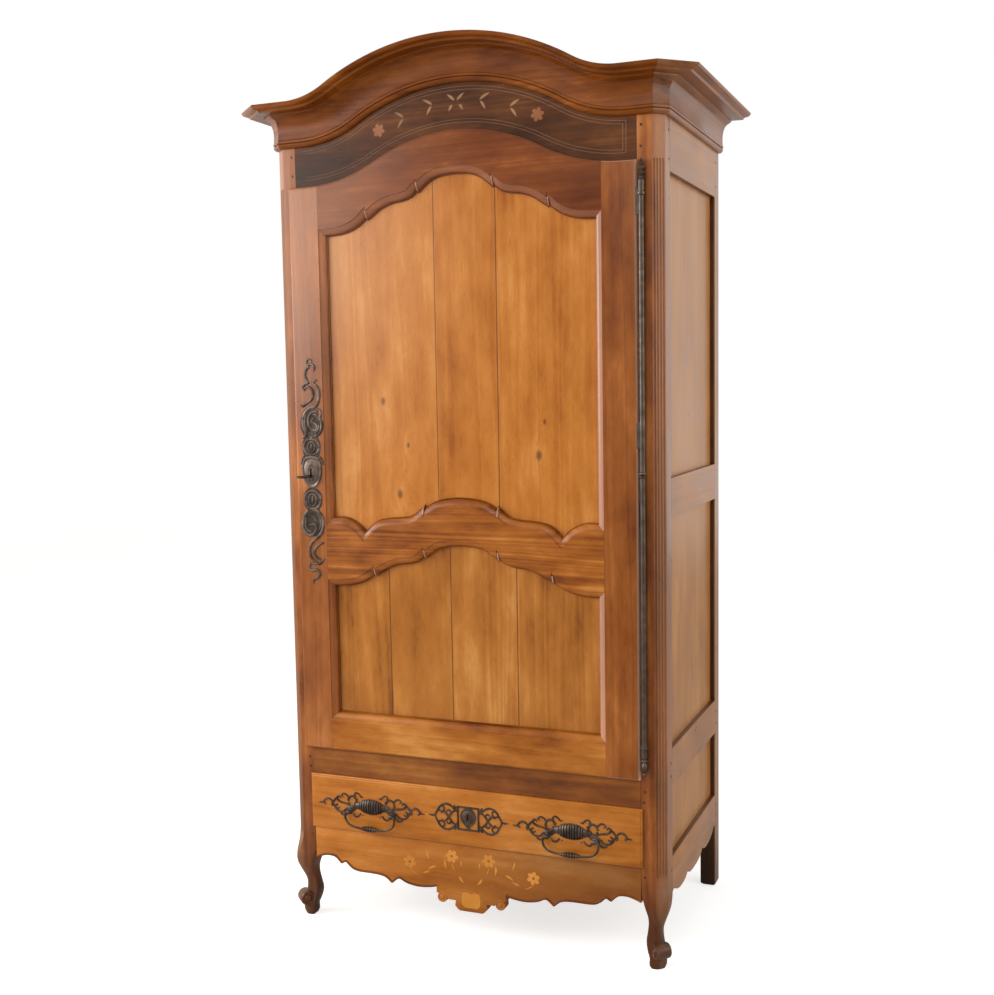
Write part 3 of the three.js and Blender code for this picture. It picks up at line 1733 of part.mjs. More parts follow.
place(carcass, 'frieze_rail', friezeRail(), darkWood);
place(carcass, 'front_mid_rail', frontMidRail(), walnut);
place(carcass, 'front_apron', frontApron(), honeyWood);
place(carcass, 'cornice_front', corniceFront(), walnut);
const backBottomTop = backBottomRailLow + backBottomRailHeight;
const bottomRail = backRail(backBottomRailLow, backBottomRailHeight, backBottomTop);
place(carcass, 'back_bottom_rail', bottomRail, insideWood);
const topRail = backRail(backTopRailLow, backTopRailHeight, backTopRailLow);
place(carcass, 'back_top_rail', topRail, insideWood);
place(carcass, 'back_boards', backBoards(), insideWood);

const boardHalf = railInner + panelTongue;
const floorFront = midRailDepth - panelTongue;
const boardRear = boardFront - jointGap;
const floorLow = floorTop - floorThickness;
const floor = insideBoard(boardHalf, floorFront, boardRear, floorLow, floorThickness);
place(carcass, 'cupboard_floor', floor, insideWood);
const ceilingFront = friezeThickness + jointGap;
place(
  carcass,
  'cupboard_ceiling',
  insideBoard(boardHalf, ceilingFront, backRailFront - jointGap, ceilingHeight, ceilingThickness),
  insideWood,
);
const shelfHalf = railInner - shelfSlack;
const shelfFront = postSide + shelfSetback;
for (const [level, height] of Object.entries(shelfHeights)) {
  const low = height - shelfThickness;
  const shelf = insideBoard(shelfHalf, shelfFront, boardRear, low, shelfThickness);
  place(carcass, `shelf_${level}`, shelf, insideWood);
}
place(carcass, 'hinge_frame_half', hingeHalf(false), iron);

for (const [name, body] of Object.entries(doorPieces())) {
  place(door, name, body, walnut);
}
place(door, 'door_panel_upper', doorPanel(upperSight), honeyWood);
place(door, 'door_panel_lower', doorPanel(lowerSight), honeyWood);
place(door, 'door_escutcheon', doorPlate(), iron);
place(door, 'hinge_door_half', hingeHalf(true), iron);
place(door, 'lock_case', lockCase(), iron);
place(door, 'lock_bolt', boltBlock(0, 0), steel);
place(door, 'key', key(), iron);

place(drawer, 'drawer_front', drawerFront(), honeyWood);
place(drawer, 'drawer_back', drawerBack(), insideWood);
place(drawer, 'drawer_bottom', drawerBottom(), insideWood);
place(drawer, 'drawer_escutcheon', drawerPlate(), iron);
for (const [word, side] of Object.entries(sides)) {
  place(drawer, `drawer_side_${word}`, drawerSide(side), insideWood);
  const plate = place(drawer, `pull_plate_${word}`, pullPlate(), iron);
  plate.position.set(side * pullX, -drawerProud - jointGap, mountsHeight);
  const handle = place(drawer, `bail_${word}`, bail(), iron);
  handle.position.copy(plate.position);
  handle.position.y -= plateThickness + bailPivotReach;
  handle.position.z -= bailPivotDrop;
}

export default cabinet;
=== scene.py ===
# %% [markdown]
# # A bonnetiere, step by step
#
# A bonnetiere is a tall, narrow linen press: one arched door over one drawer, on legs that
# curve outwards and end in small scrolls. This notebook dresses a measured model of one.
# The model gives every joint and every size, so each step here only says how a piece looks:
# its mouldings, its carving, its inlay, its wood and its iron.
#
# The first cell loads the measured model.

import math

import bmesh
import bpy
from mathutils import Matrix, Vector


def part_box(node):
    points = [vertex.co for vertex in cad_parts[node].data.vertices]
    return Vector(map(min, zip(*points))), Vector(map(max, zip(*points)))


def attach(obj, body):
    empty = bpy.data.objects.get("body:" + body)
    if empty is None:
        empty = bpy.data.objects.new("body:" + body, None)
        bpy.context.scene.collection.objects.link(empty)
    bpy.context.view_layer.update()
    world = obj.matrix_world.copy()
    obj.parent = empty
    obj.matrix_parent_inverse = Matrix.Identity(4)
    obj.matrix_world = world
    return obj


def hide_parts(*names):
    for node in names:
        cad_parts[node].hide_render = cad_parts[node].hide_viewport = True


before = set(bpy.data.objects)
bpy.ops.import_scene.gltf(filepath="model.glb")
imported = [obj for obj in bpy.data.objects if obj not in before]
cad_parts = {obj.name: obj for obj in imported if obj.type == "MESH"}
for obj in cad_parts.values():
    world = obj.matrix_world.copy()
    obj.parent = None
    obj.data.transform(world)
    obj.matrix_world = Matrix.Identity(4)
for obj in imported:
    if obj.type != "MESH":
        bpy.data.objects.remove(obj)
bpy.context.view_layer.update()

# %% [markdown]
# A joiner measures from the face of the frame. So every length below is in millimetres,
# with x to the right from the middle, y backwards from the frame's face, and z up from
# the floor. One small function turns such a place into Blender's metres. The door laps
# over its frame, pieces that meet are a hair apart, and what moves has some play.

# %% Measure from the face of the frame
MM = 0.001
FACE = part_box("front_mid_rail")[0].y


def spot(x, y, z):
    """A place in millimetres as a point in metres."""
    return Vector((x * MM, y * MM + FACE, z * MM))


body_half = 488
opening_half = 430
drawer_sill = 250
door_sill = 462
door_shoulder = 1856
cornice_base = 1952
post_top = 2008
lap, hair, play = 8, 0.3, 1.5
print("face of the frame at y =", round(FACE, 4), "m")

# %% [markdown]
# The camera stands where the photographer stood: to the right of the middle and a little
# above half height, turned left and tipped slightly down. The lens is about 47 mm on a
# full frame, and a small shift stands for the way that the picture was cropped.

# %% Place the camera
camera_place = Vector((1.1945, -3.1025, 1.3834))
turn_left, tip, lean = 0.3976, -0.0963, -0.0193
photo_width, photo_height = 994, 995
focal, centre_x, centre_y = 1299, 462.95, 503.99
ahead = Vector((
    -math.sin(turn_left) * math.cos(tip),
    math.cos(turn_left) * math.cos(tip),
    math.sin(tip),
))
level = Vector((math.cos(turn_left), math.sin(turn_left), 0))
plumb = level.cross(ahead)
right = level * math.cos(lean) + plumb * math.sin(lean)
up = plumb * math.cos(lean) - level * math.sin(lean)

bpy.ops.object.camera_add()
camera = bpy.context.object
camera.name = "camera"
camera.matrix_world = Matrix((
    (right.x, up.x, -ahead.x, camera_place.x),
    (right.y, up.y, -ahead.y, camera_place.y),
    (right.z, up.z, -ahead.z, camera_place.z),
    (0, 0, 0, 1),
))
camera.data.sensor_fit = "HORIZONTAL"
camera.data.lens = focal / photo_width * camera.data.sensor_width
camera.data.shift_x = (photo_width / 2 - centre_x) / photo_width
camera.data.shift_y = (centre_y - photo_height / 2) / photo_width
bpy.context.scene.camera = camera
print("lens:", round(camera.data.lens, 2), "mm")

# %% [markdown]
# Most pieces here keep one outline while they grow in one direction: a board grows through
# its thickness, a cornice along its run, a turned knop up its height. By hand that is one
# face, extruded again and again, with its corners moved to the next outline each time. The
# helper below does just that. It starts from a filled circle with as many corners as the
# outline has, so any row of outlines with equal numbers of points becomes one closed skin.

# %% A skin from outline to outline
def clear_choice():
    """Nothing stays selected, and Blender is back in object mode."""
    if bpy.context.object and bpy.context.object.mode != "OBJECT":
        bpy.ops.object.mode_set(mode="OBJECT")
    bpy.ops.object.select_all(action="DESELECT")


def skin(outlines, ring=False):
    """One face is laid on the first outline and extruded from outline to outline."""
    clear_choice()
    first = outlines[0]
    middle = sum(first, Vector()) / len(first)
    reach = max((point - middle).length for point in first)
    bpy.ops.mesh.primitive_circle_add(
        vertices=len(first), radius=reach, fill_type="NGON", location=middle
    )
    bpy.ops.object.transform_apply()
    piece = bpy.context.object
    bpy.ops.object.mode_set(mode="EDIT")
    shape = bmesh.from_edit_mesh(piece.data)
    corners = [corner.index for corner in next(iter(shape.faces)).verts]
    shape.verts.ensure_lookup_table()
    for corner, point in zip(corners, first):
        shape.verts[corner].co = point
    bmesh.update_edit_mesh(piece.data)
    for outline in outlines[1:]:
        bpy.ops.mesh.extrude_region_move()
        shape = bmesh.from_edit_mesh(piece.data)
        shape.verts.index_update()
        shape.verts.ensure_lookup_table()
        moved = []
        for corner, point in zip(corners, outline):
            links = shape.verts[corner].link_edges
            ends = [edge.other_vert(shape.verts[corner]) for edge in links]
            fresh = next(end for end in ends if end.select)
            fresh.co = point
            moved.append(fresh.index)
        corners = moved
        bmesh.update_edit_mesh(piece.data)
    if ring:
        ends = [face for face in shape.faces if len(face.verts) == len(first)]
        for face in shape.faces:
            face.select = face in ends
        bmesh.update_edit_mesh(piece.data)
        bpy.ops.mesh.bridge_edge_loops()
    tidy(piece)
    return piece


def tidy(piece):
    """Doubles are merged and every face is turned outwards."""
    clear_choice()
    piece.select_set(True)
    bpy.context.view_layer.objects.active = piece
    bpy.ops.object.mode_set(mode="EDIT")
    bpy.ops.mesh.select_all(action="SELECT")
    bpy.ops.mesh.remove_doubles(threshold=0.00001)
    bpy.ops.mesh.normals_make_consistent(inside=False)
    bpy.ops.object.mode_set(mode="OBJECT")


def board(outline, front, rear):
    """A flat board cut to an outline of (x, z) points, between two depths."""
    return skin([
        [spot(x, front, z) for x, z in outline],
        [spot(x, rear, z) for x, z in outline],
    ])


def upright_box(x0, x1, y0, y1, low, high):
    """A block between two heights."""
    corners = ((x0, y0), (x1, y0), (x1, y1), (x0, y1))
    return skin([[spot(x, y, z) for x, y in corners] for z in (low, high)])


# %% [markdown]
# Edges on old furniture are never knife sharp: a plane or a scraper broke them, and two
# centuries of dusting did the rest. A Bevel modifier on the sharp edges gives that, and
# it is applied at once so that the piece holds its true shape. Booleans cut the mouldings
# and joints, also applied at once.

# %% Soften edges, cut and join
def soften(piece, width, steps=2, angle=35):
    """The sharp edges of a piece are rounded by a few tenths of a millimetre or more."""
    clear_choice()
    bpy.context.view_layer.objects.active = piece
    bevel = piece.modifiers.new("soften", "BEVEL")
    bevel.width = width * MM
    bevel.segments = steps
    bevel.limit_method = "ANGLE"
    bevel.angle_limit = math.radians(angle)
    bevel.use_clamp_overlap = True
    bpy.ops.object.modifier_apply(modifier="soften")
    return piece


def discard(piece):
    """A tool is put away once it has done its work."""
    clear_choice()
    piece.select_set(True)
    bpy.ops.object.delete()


def carve(piece, cutter, way="DIFFERENCE"):
    """A cutter takes its shape out of a piece, or keeps only what lies inside it."""
    clear_choice()
    bpy.context.view_layer.objects.active = piece
    saw = piece.modifiers.new("carve", "BOOLEAN")
    saw.operation = way
    saw.solver = "MANIFOLD"
    saw.object = cutter
    bpy.ops.object.modifier_apply(modifier="carve")
    discard(cutter)
    return piece


def twin(piece):
    """A copy with a mesh of its own."""
    clear_choice()
    piece.select_set(True)
    bpy.context.view_layer.objects.active = piece
    bpy.ops.object.duplicate()
    return bpy.context.object


def flipped(piece):
    """A copy for the other side of the cabinet, mirrored across the middle."""
    other = twin(piece)
    other.scale.x = -1
    bpy.ops.object.transform_apply()
    tidy(other)
    return other


def together(pieces):
    """Several shapes become one piece."""
    clear_choice()
    for piece in pieces:
        piece.select_set(True)
    bpy.context.view_layer.objects.active = pieces[0]
    bpy.ops.object.join()
    return bpy.context.object


# %% [markdown]
# Every finished piece gets the same last touches: shading that is smooth over curves and
# crisp over real edges, its wood or iron, and the part of the cabinet that it moves with.
# Some pieces take the place of a plainer solid of the measured model.

# %% Fit a finished piece
finishes = {}
fitted = []


def fit(piece, name, body, finish, stands_for=(), angle=32):
    """Name, shading, finish and moving body of a piece."""
    tidy(piece)
    piece.select_set(True)
    bpy.ops.object.shade_smooth_by_angle(angle=math.radians(angle))
    piece.name = name
    piece.data.name = name
    material, slot = finishes[finish]
    piece.data.materials.clear()
    piece.data.materials.append(material)
    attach(piece, body)
    if stands_for:
        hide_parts(*stands_for)
    fitted.append(name)


def fit_pair(piece, name, body, finish, node, angle=32):
    """A right-hand piece and its mirror image; {} in a name stands for the side."""
    for side, half in (("right", piece), ("left", flipped(piece))):
        fit(half, name.format(side), body.format(side), finish, [node.format(side)], angle)


# %% [markdown]
# ## Colours and nodes
#
# Colours are written as a paint chart gives them, in sRGB. The shader wants them linear,
# so one function does that change. A second one adds a node with its settings and links,
# and every finish below is made with it.

# %% Colour and node helpers
def paint(code):
    """An sRGB colour such as #8a5228 as linear numbers."""
    numbers = [int(code[i:i + 2], 16) / 255 for i in (1, 3, 5)]
    return (*[c / 12.92 if c <= 0.04045 else ((c + 0.055) / 1.055) ** 2.4 for c in numbers], 1.0)


def add(tree, kind, settings=None, links=None):
    """One node of a kind, with its settings and with what is linked into it."""
    node = tree.nodes.new("ShaderNode" + kind)
    for key, value in (settings or {}).items():
        if isinstance(key, int) or key in node.inputs:
            node.inputs[key].default_value = value
        elif key == "stops":
            while len(node.color_ramp.elements) < len(value):
                node.color_ramp.elements.new(0.5)
            for stop, (place, colour) in zip(node.color_ramp.elements, value):
                stop.position = place
                stop.color = colour
        elif key == "between":
            node.color_ramp.interpolation = value
        else:
            setattr(node, key, value)
    for key, source in (links or {}).items():
        tree.links.new(source, node.inputs[key])
    return node


def blank_material(name):
    """An empty material and its node tree."""
    material = bpy.data.materials.new(name)
    material.use_nodes = True
    material.node_tree.nodes.clear()
    return material, material.node_tree


def surface(tree, settings, colour, gloss, height, strength):
    """The end of every finish: its colour, its gloss and the relief that the light shows."""
    relief = add(tree, "Bump", {"Strength": strength, "Distance": 0.0005}, {"Height": height}).outputs[0]
    shader = add(tree, "BsdfPrincipled", settings, {
        "Base Color": colour, "Roughness": gloss, "Normal": relief,
    }).outputs[0]
    add(tree, "OutputMaterial", links={"Surface": shader})


# %% [markdown]
# ## Old polished fruitwood
#
# The frame is cherry under many coats of wax. What the eye reads as wood is four things at
# four sizes. Growth rings stand 5 to 15 mm apart and never evenly: they are noise along
# the distance from the trunk's heart, which lies some way behind the board, and slow bends
# turn them into the tall flames of a flat-sawn board. Fibres are streaks about 2 mm wide.
# Pores are short dark dashes, drawn near 1 mm wide, coarser than the real 0.2 mm, so that
# they show. Broad patches, a hand's width across, come from sun and from handling.
#
# The patterns read Object coordinates. A pattern is made long along the grain by shrinking
# the coordinate in that direction, so one helper does this for every layer.

# %% Layers of a board
def along_grain(tree, place, grain, share):
    """The place with its coordinate along the grain shrunk to a share."""
    shrink = tuple(share if axis == grain else 1.0 for axis in "XYZ")
    return add(tree, "VectorMath", {"operation": "MULTIPLY", 1: shrink}, {0: place}).outputs[0]


def cloud(tree, place, scale, detail, output="Fac"):
    """Soft noise; scale counts its waves in a metre."""
    return add(tree, "TexNoise", {"Scale": scale, "Detail": detail, "Roughness": 0.6}, {
        "Vector": place,
    }).outputs[output]


def ramp_value(tree, value, low, high, to_low, to_high, smooth=False):
    """A value moved from one range to another."""
    return add(tree, "MapRange", {
        "interpolation_type": "SMOOTHSTEP" if smooth else "LINEAR",
        "From Min": low, "From Max": high, "To Min": to_low, "To Max": to_high,
    }, {0: value}).outputs[0]


def maths(tree, operation, first, second):
    """Arithmetic on two values; the second may be a plain number."""
    if isinstance(second, (int, float)):
        return add(tree, "Math", {"operation": operation, 1: second}, {0: first}).outputs[0]
    return add(tree, "Math", {"operation": operation}, {0: first, 1: second}).outputs[0]


def tinted(tree, colour, shade, amount, blend="MIX"):
    """A colour moved towards a shade where the amount is high."""
    return add(tree, "Mix", {"data_type": "RGBA", "blend_type": blend, 7: paint(shade)}, {
        0: amount, 6: colour,
    }).outputs[2]


ring_gap = 11


def growth_rings(tree, place, grain, heart):
    """Uneven rings round a heart that lies behind the board."""
    stretched = along_grain(tree, place, grain, 0.07)
    bend = cloud(tree, stretched, 7.0, 2.0, "Color")
    bent = add(tree, "VectorMath", {"operation": "MULTIPLY_ADD", 1: (0.1, 0.1, 0.1)}, {
        0: bend, 2: stretched,
    }).outputs[0]
    aside, deep = heart
    centre = {"X": (0, deep, aside), "Y": (deep, 0, aside), "Z": (aside, deep, 0)}[grain]
    across = tuple(0.25 if axis == grain else 1.0 for axis in "XYZ")
    from_heart = add(tree, "VectorMath", {
        "operation": "MULTIPLY_ADD", 1: across, 2: tuple(-value for value in centre),
    }, {0: bent}).outputs[0]
    radius = add(tree, "VectorMath", {"operation": "LENGTH"}, {0: from_heart}).outputs["Value"]
    return add(tree, "TexNoise", {
        "noise_dimensions": "1D", "Scale": 1 / (ring_gap * MM), "Detail": 2.0, "Roughness": 0.55,
    }, {"W": radius}).outputs["Fac"]


# %% [markdown]
# A panel is glued up from boards. Each board gets its own place in the trunk and its own
# tone, and a fine dark line marks the joint. The place comes from remainders of the board's
# number, which look random and never change. A knot is a small dark oval, and the grain
# parts round it.

# %% Glued boards and knots
def board_values(tree, along, seams, rows):
    """One colour or tone for each board between the seams."""
    low, high = seams[0] - 1000, seams[-1] + 1000
    share = ramp_value(tree, along, low * MM, high * MM, 0.0, 1.0)
    edges = [0.0] + [(seam - low) / (high - low) for seam in seams]
    return add(tree, "ValToRGB", {
        "between": "CONSTANT", "stops": [(edge, (*row, 1)) for edge, row in zip(edges, rows)],
    }, {0: share}).outputs[0]


def seam_lines(tree, along, seams):
    """How near a place is to a glue line, from 0 to 1."""
    line = None
    for seam in seams:
        gap = maths(tree, "ABSOLUTE", maths(tree, "SUBTRACT", along, seam * MM), 0.0)
        near = ramp_value(tree, gap, 0.0005, 0.0017, 0.85, 0.0)
        line = near if line is None else maths(tree, "MAXIMUM", line, near)
    return line


def knot_distance(tree, place, x, z):
    """The distance from a knot, seen from the front; knots are taller than wide."""
    flat = add(tree, "VectorMath", {
        "operation": "MULTIPLY_ADD", 1: (1, 0, 0.6), 2: (-x * MM, 0, -z * MM * 0.6),
    }, {0: place}).outputs[0]
    return add(tree, "VectorMath", {"operation": "LENGTH"}, {0: flat}).outputs["Value"]


# %% A waxed board
def wood(name, slot, grain, hues, heart=(0.03, 0.11), rough=0.32, shine=0.28, contrast=1.0, figure=0.16,
         seams=(), tones=(), knots=(), tints=(), painted_sheen=0.0, low_darkening=None):
    """The fibres run along the axis grain, and the four hues go from dark to light."""
    hues = hues.split()
    material, tree = blank_material(name)
    flat_place = add(tree, "TexCoord").outputs["Object"]
    axes = add(tree, "SeparateXYZ", links={0: flat_place}).outputs
    place = flat_place
    if seams:
        rows = [(i * 37 % 11 / 11, i * 53 % 7 / 7, i * 29 % 5 / 5) for i in range(len(seams) + 1)]
        shift = board_values(tree, axes["X"], seams, rows)
        place = add(tree, "VectorMath", {"operation": "MULTIPLY_ADD", 1: (0.2, 0.06, 3.0)}, {
            0: shift, 2: place,
        }).outputs[0]
    for x, z, size in knots:
        away = knot_distance(tree, flat_place, x, z)
        pull = ramp_value(tree, away, 0.0, size * 5 * MM, size * 1.3 * MM, 0.0, True)
        push = add(tree, "CombineXYZ", links={"X": pull, "Y": pull}).outputs[0]
        place = add(tree, "VectorMath", {"operation": "ADD"}, {0: place, 1: push}).outputs[0]

    def drawn_out(share, scale, detail):
        """Noise that is long along the grain."""
        return cloud(tree, along_grain(tree, place, grain, share), scale, detail)

    rings = growth_rings(tree, place, grain, heart)
    fibre = drawn_out(0.02, 380.0, 4.0)
    pores = ramp_value(tree, drawn_out(0.08, 620.0, 1.0), 0.6, 0.72, 0.0, 0.18)
    patches = drawn_out(0.35, 17.0, 4.0)
    broad = drawn_out(0.5, 4.5, 2.0)
    streaks = drawn_out(0.05, 45.0, 2.0)
    shares = ((rings, figure), (fibre, 0.07), (streaks, 0.08), (patches, 0.5), (broad, 0.4))
    layers = None
    for layer, share in shares:
        weighed = maths(tree, "MULTIPLY", layer, share)
        layers = weighed if layers is None else maths(tree, "ADD", layers, weighed)
    if tones:
        tone = board_values(tree, axes["X"], seams, [(t, t, t) for t in tones])
        layers = maths(tree, "ADD", layers, tone)
    middle, spread = sum(share for _, share in shares) / 2, 0.17 / contrast
    value = ramp_value(tree, layers, middle - spread, middle + spread, 0.0, 1.0)
    colour = add(tree, "ValToRGB", {
        "stops": [(i / (len(hues) - 1), paint(hue)) for i, hue in enumerate(hues)],
    }, {0: value}).outputs[0]
    colour = tinted(tree, colour, "#5e3a22", pores, "MULTIPLY")
    for x, z, size in knots:
        away = knot_distance(tree, flat_place, x, z)
        eye = ramp_value(tree, away, size * 0.2 * MM, size * MM, 0.8, 0.0, True)
        colour = tinted(tree, colour, "#5d3114", eye)
    if seams:
        colour = tinted(tree, colour, "#43230f", seam_lines(tree, axes["X"], seams))
    # painted sheen: a pale wash that grows towards the upper left of the front, where a window shines on it
    if painted_sheen:
        leftwards = ramp_value(tree, axes["X"], -0.5, 0.1, painted_sheen, 0.0, True)
        upwards = ramp_value(tree, axes["Z"], 0.9, 1.85, 0.1, 1.0, True)
        colour = tinted(tree, colour, "#d8ab90", maths(tree, "MULTIPLY", leftwards, upwards))
    for axis, start, end, hue, amount in tints:
        reach = maths(tree, "ABSOLUTE", axes["X"], 0) if axis == "side" else axes[axis]
        colour = tinted(tree, colour, hue, ramp_value(tree, reach, start, end, 0.0, amount, True))
    # darker towards the floor, in patches: painted shade on the rear posts, and a darkening towards the
    # bottom on the front legs
    if low_darkening:
        low, high, shade = low_darkening
        dark_share = ramp_value(tree, axes["Z"], low * MM, high * MM, 0.75, 0.0)
        dark_share = maths(tree, "MULTIPLY", dark_share, ramp_value(tree, patches, 0.35, 0.65, 0.6, 1.2))
        colour = tinted(tree, colour, shade, dark_share)
    gloss = ramp_value(tree, patches, 0.3, 0.7, rough - 0.06, rough + 0.08)
    surface(tree, {"IOR": 1.5, "Specular IOR Level": shine}, colour, gloss, fibre, 0.1)
    finishes[name] = (material, slot)


# %% [markdown]
# The woods of this piece: a red-brown frame, a honey-coloured door panel and drawer, a
# darker cornice, a stained frieze, sides painted pale with the glare of a face seen at a
# slant, and raw wood inside. Only the grain's direction and the colours change between
# them. Stiles and posts have upright grain, rails have level grain, and the drawer's sides
# have grain that runs backwards. Some tints are painted light and shade. Painted shade
# deepens the colour with the depth in the hollows of the door's moulding, and a painted
# highlight pales the round of the moulding beside the hinge and along the arched rail, and
# the door's lip beside the hinge. Painted shade also darkens the apron towards its right
# end, where the lamps' light falls off, the recessed edges round the side panels and the
# rear posts, and a painted sheen pales the upper left of the front, where a window shines
# on it. Each tint is an axis, the places where it starts and is full, a hue and its
# strength. The axis called side counts outwards from the middle in both directions.

# %% The woods
honey_hues = "#924a06 #b0661a #c2782c #d3904a"
# the first hue is painted shade for the moulding's hollows, the second a painted pale glare on faces seen
# at a slant
painted_hollow_hue, painted_side_glare = "#2a160b", "#bc8c68"
# painted shade: the colour deepens with the depth in the hollows of the door's moulding
hollow_painted_shade = ("Y", FACE + 0.002, FACE + 0.0068, painted_hollow_hue, 0.65)
door_back = ("Y", FACE + 0.014, FACE + 0.018, "#a06c42", 0.5)
# painted highlight along the rounded lip of the door beside the hinge
painted_lip_highlight = ("X", 0.4255, 0.4305, "#c8a890", 0.5)
# where the round of the moulding starts below the face, and where the painted highlight on it is full
mould_start, mould_full = FACE - 0.0114, FACE - 0.0104
stile_hues = "#6a3004 #84440a #98541a #b56c30"
# the front posts: painted sheen at the upper left, painted glare on the cant and the outer side, and darker
# towards the floor
wood("upright_frame", "walnut", "Z", "#502200 #783c0e #9a561e #ba7232", contrast=1.1, painted_sheen=0.25,
     tints=(("side", 0.462, 0.476, painted_side_glare, 0.4),), low_darkening=(70, 300, "#1e120a"))
# the rear posts are painted in shade: dark hues, darker still towards the floor, and painted glare on their
# outer side
wood("rear_posts_in_shade", "washed_wood", "Z", "#2c1404 #44240e #5a3216 #6e4020",
     tints=(("side", 0.484, 0.487, painted_side_glare, 0.75),), low_darkening=(0, 240, "#120a05"))
wood("level_frame", "walnut", "X", "#4a2208 #743c0d #8c5018 #aa6a2e", heart=(0.05, 0.17))
wood("upright_stile", "walnut", "Z", stile_hues, heart=(0.08, 0.09), contrast=1.1,
     tints=(hollow_painted_shade, door_back, painted_lip_highlight), painted_sheen=0.28)
# the hinge stile: the stile's wood with a painted highlight on the round of its moulding
wood("hinge_stile_highlit", "walnut", "Z", stile_hues, heart=(0.08, 0.09), contrast=1.1,
     tints=(("Y", mould_start, mould_full, "#d8a890", 0.5), hollow_painted_shade, door_back, painted_lip_highlight),
     painted_sheen=0.28)
wood("level_door_rail", "walnut", "X", "#662e00 #8e4a08 #a65e18 #c07a32", heart=(0.02, 0.12), contrast=1.25,
     tints=(hollow_painted_shade, door_back), painted_sheen=0.25, figure=0.3)
wood("low_door_rail", "walnut", "X", "#743600 #9c560e #b46c22 #cc883e", heart=(0.02, 0.12), contrast=1.2,
     tints=(hollow_painted_shade, door_back))
# the arched rail: a painted highlight pales the round of its moulding
wood("arched_rail", "walnut", "X", "#542200 #682e00 #7c3c08 #a25e22", heart=(0.02, 0.2),
     shine=0.22, tints=(("Y", mould_start, mould_full, "#b4826a", 0.24), hollow_painted_shade, door_back),
     painted_sheen=0.18)
wood("cornice_wood", "walnut", "X", "#421a00 #642e00 #7c3f04 #9a561c", heart=(0.07, 0.15), shine=0.22)
wood("cornice_return", "walnut", "Y", "#5c3215 #804c26 #975f37 #aa7247")
# painted shade: the apron darkens towards its right end, where the lamps' light falls off
wood("apron_wood", "honey_wood", "X", honey_hues, heart=(0.04, 0.2),
     tints=(("X", -0.35, 0.45, "#5a2c0c", 0.6),))
wood("drawer_wood", "honey_wood", "X", honey_hues, heart=(0.09, 0.13))
wood("upper_panel", "honey_wood", "Z", honey_hues, heart=(0.0, 0.12), contrast=0.95, figure=0.18,
     painted_sheen=0.3, seams=(-67, 90), tones=(0.04, 0.0, -0.05),
     knots=((-210, 1332, 9), (190, 1202, 11), (-170, 1105, 10), (-145, 1225, 6), (205, 1280, 6)))
wood("lower_panel", "honey_wood", "Z", "#783f0c #a05f1c #b4702a #c98a42", heart=(0.02, 0.14), figure=0.18,
     contrast=0.95, seams=(-205, -40, 130), tones=(-0.02, -0.01, 0.03, -0.01))
wood("frieze_stain", "dark_wood", "X", "#281200 #402008 #5a3010 #78461e", heart=(0.03, 0.2), shine=0.17)
# the side rails and panels are painted pale with the glare of faces seen at a slant
glare_pale_side_hues = "#784623 #9f683d #b57d50 #c79262"
# painted shade darkens the side rails' recessed edges round the panels; the inner face takes the inside
# wood's colour
wood("side_level", "washed_wood", "Y", glare_pale_side_hues, contrast=0.8,
     tints=(("side", 0.487, 0.485, "#3a2412", 0.8), ("side", 0.471, 0.465, "#96683e", 0.8)))
wood("side_board", "washed_wood", "Z", "#844d1e #ae723b #c4894e #d49d60", heart=(0.1, 0.02),
     contrast=0.6)
inside_hues = "#805839 #a0734c #b68860 #c69a72"
for run, grain in (("upright", "Z"), ("level", "X"), ("deep", "Y")):
    wood(f"inside_{run}", "inside_wood", grain, inside_hues, rough=0.7, shine=0.1)
wood("light_inlay", "honey_wood", "X", "#6c3c1a #824a26 #925a34 #a2693e")
wood("golden_inlay", "honey_wood", "Z", "#b26a20 #c8802e #d68e38 #e4a24c")
wood("dark_inlay", "honey_wood", "X", "#4c2e16 #603e22 #724b2e #82583a")
wood("pale_inlay", "honey_wood", "Z", "#785236 #8c6344 #9c7352 #ac8464")
# pale wood for the ridges at the moulding's notches: a painted highlight
wood("notch_highlight_wood", "walnut", "Z", "#a06e52 #b07e60 #c09072 #d0a286")
wood("peg_wood", "walnut", "Y", "#2c160a #452410 #573017 #6b3e20")
print("woods:", len(finishes))


# %% [markdown]
# ## Iron
#
# The hinge, the plates and the pulls are wrought and cast iron that has gone brown-black.
# Bare worn iron is a metal, the brown skin on it is not. A slow noise moves between the
# two colours and makes the rubbed places a little smoother. Forging leaves shallow dents,
# about 4 mm apart, which are drawn as bump.

# %% Old iron and worked steel
def old_iron(name, slot, dark, light, rough, metallic):
    """Browned iron with rubbed places."""
    material, tree = blank_material(name)
    place = add(tree, "TexCoord").outputs["Object"]
    patches = add(tree, "TexNoise", {"Scale": 45.0, "Detail": 3.0, "Roughness": 0.5}, {
        "Vector": place,
    }).outputs["Fac"]
    colour = add(tree, "ValToRGB", {
        "stops": [(0.35, paint(dark)), (0.7, paint(light))],
    }, {0: patches}).outputs[0]
    dents = add(tree, "TexNoise", {"Scale": 250.0, "Detail": 2.0}, {"Vector": place}).outputs["Fac"]
    gloss = ramp_value(tree, patches, 0.3, 0.7, rough + 0.08, rough - 0.08)
    surface(tree, {"Metallic": metallic}, colour, gloss, dents, 0.16)
    finishes[name] = (material, slot)


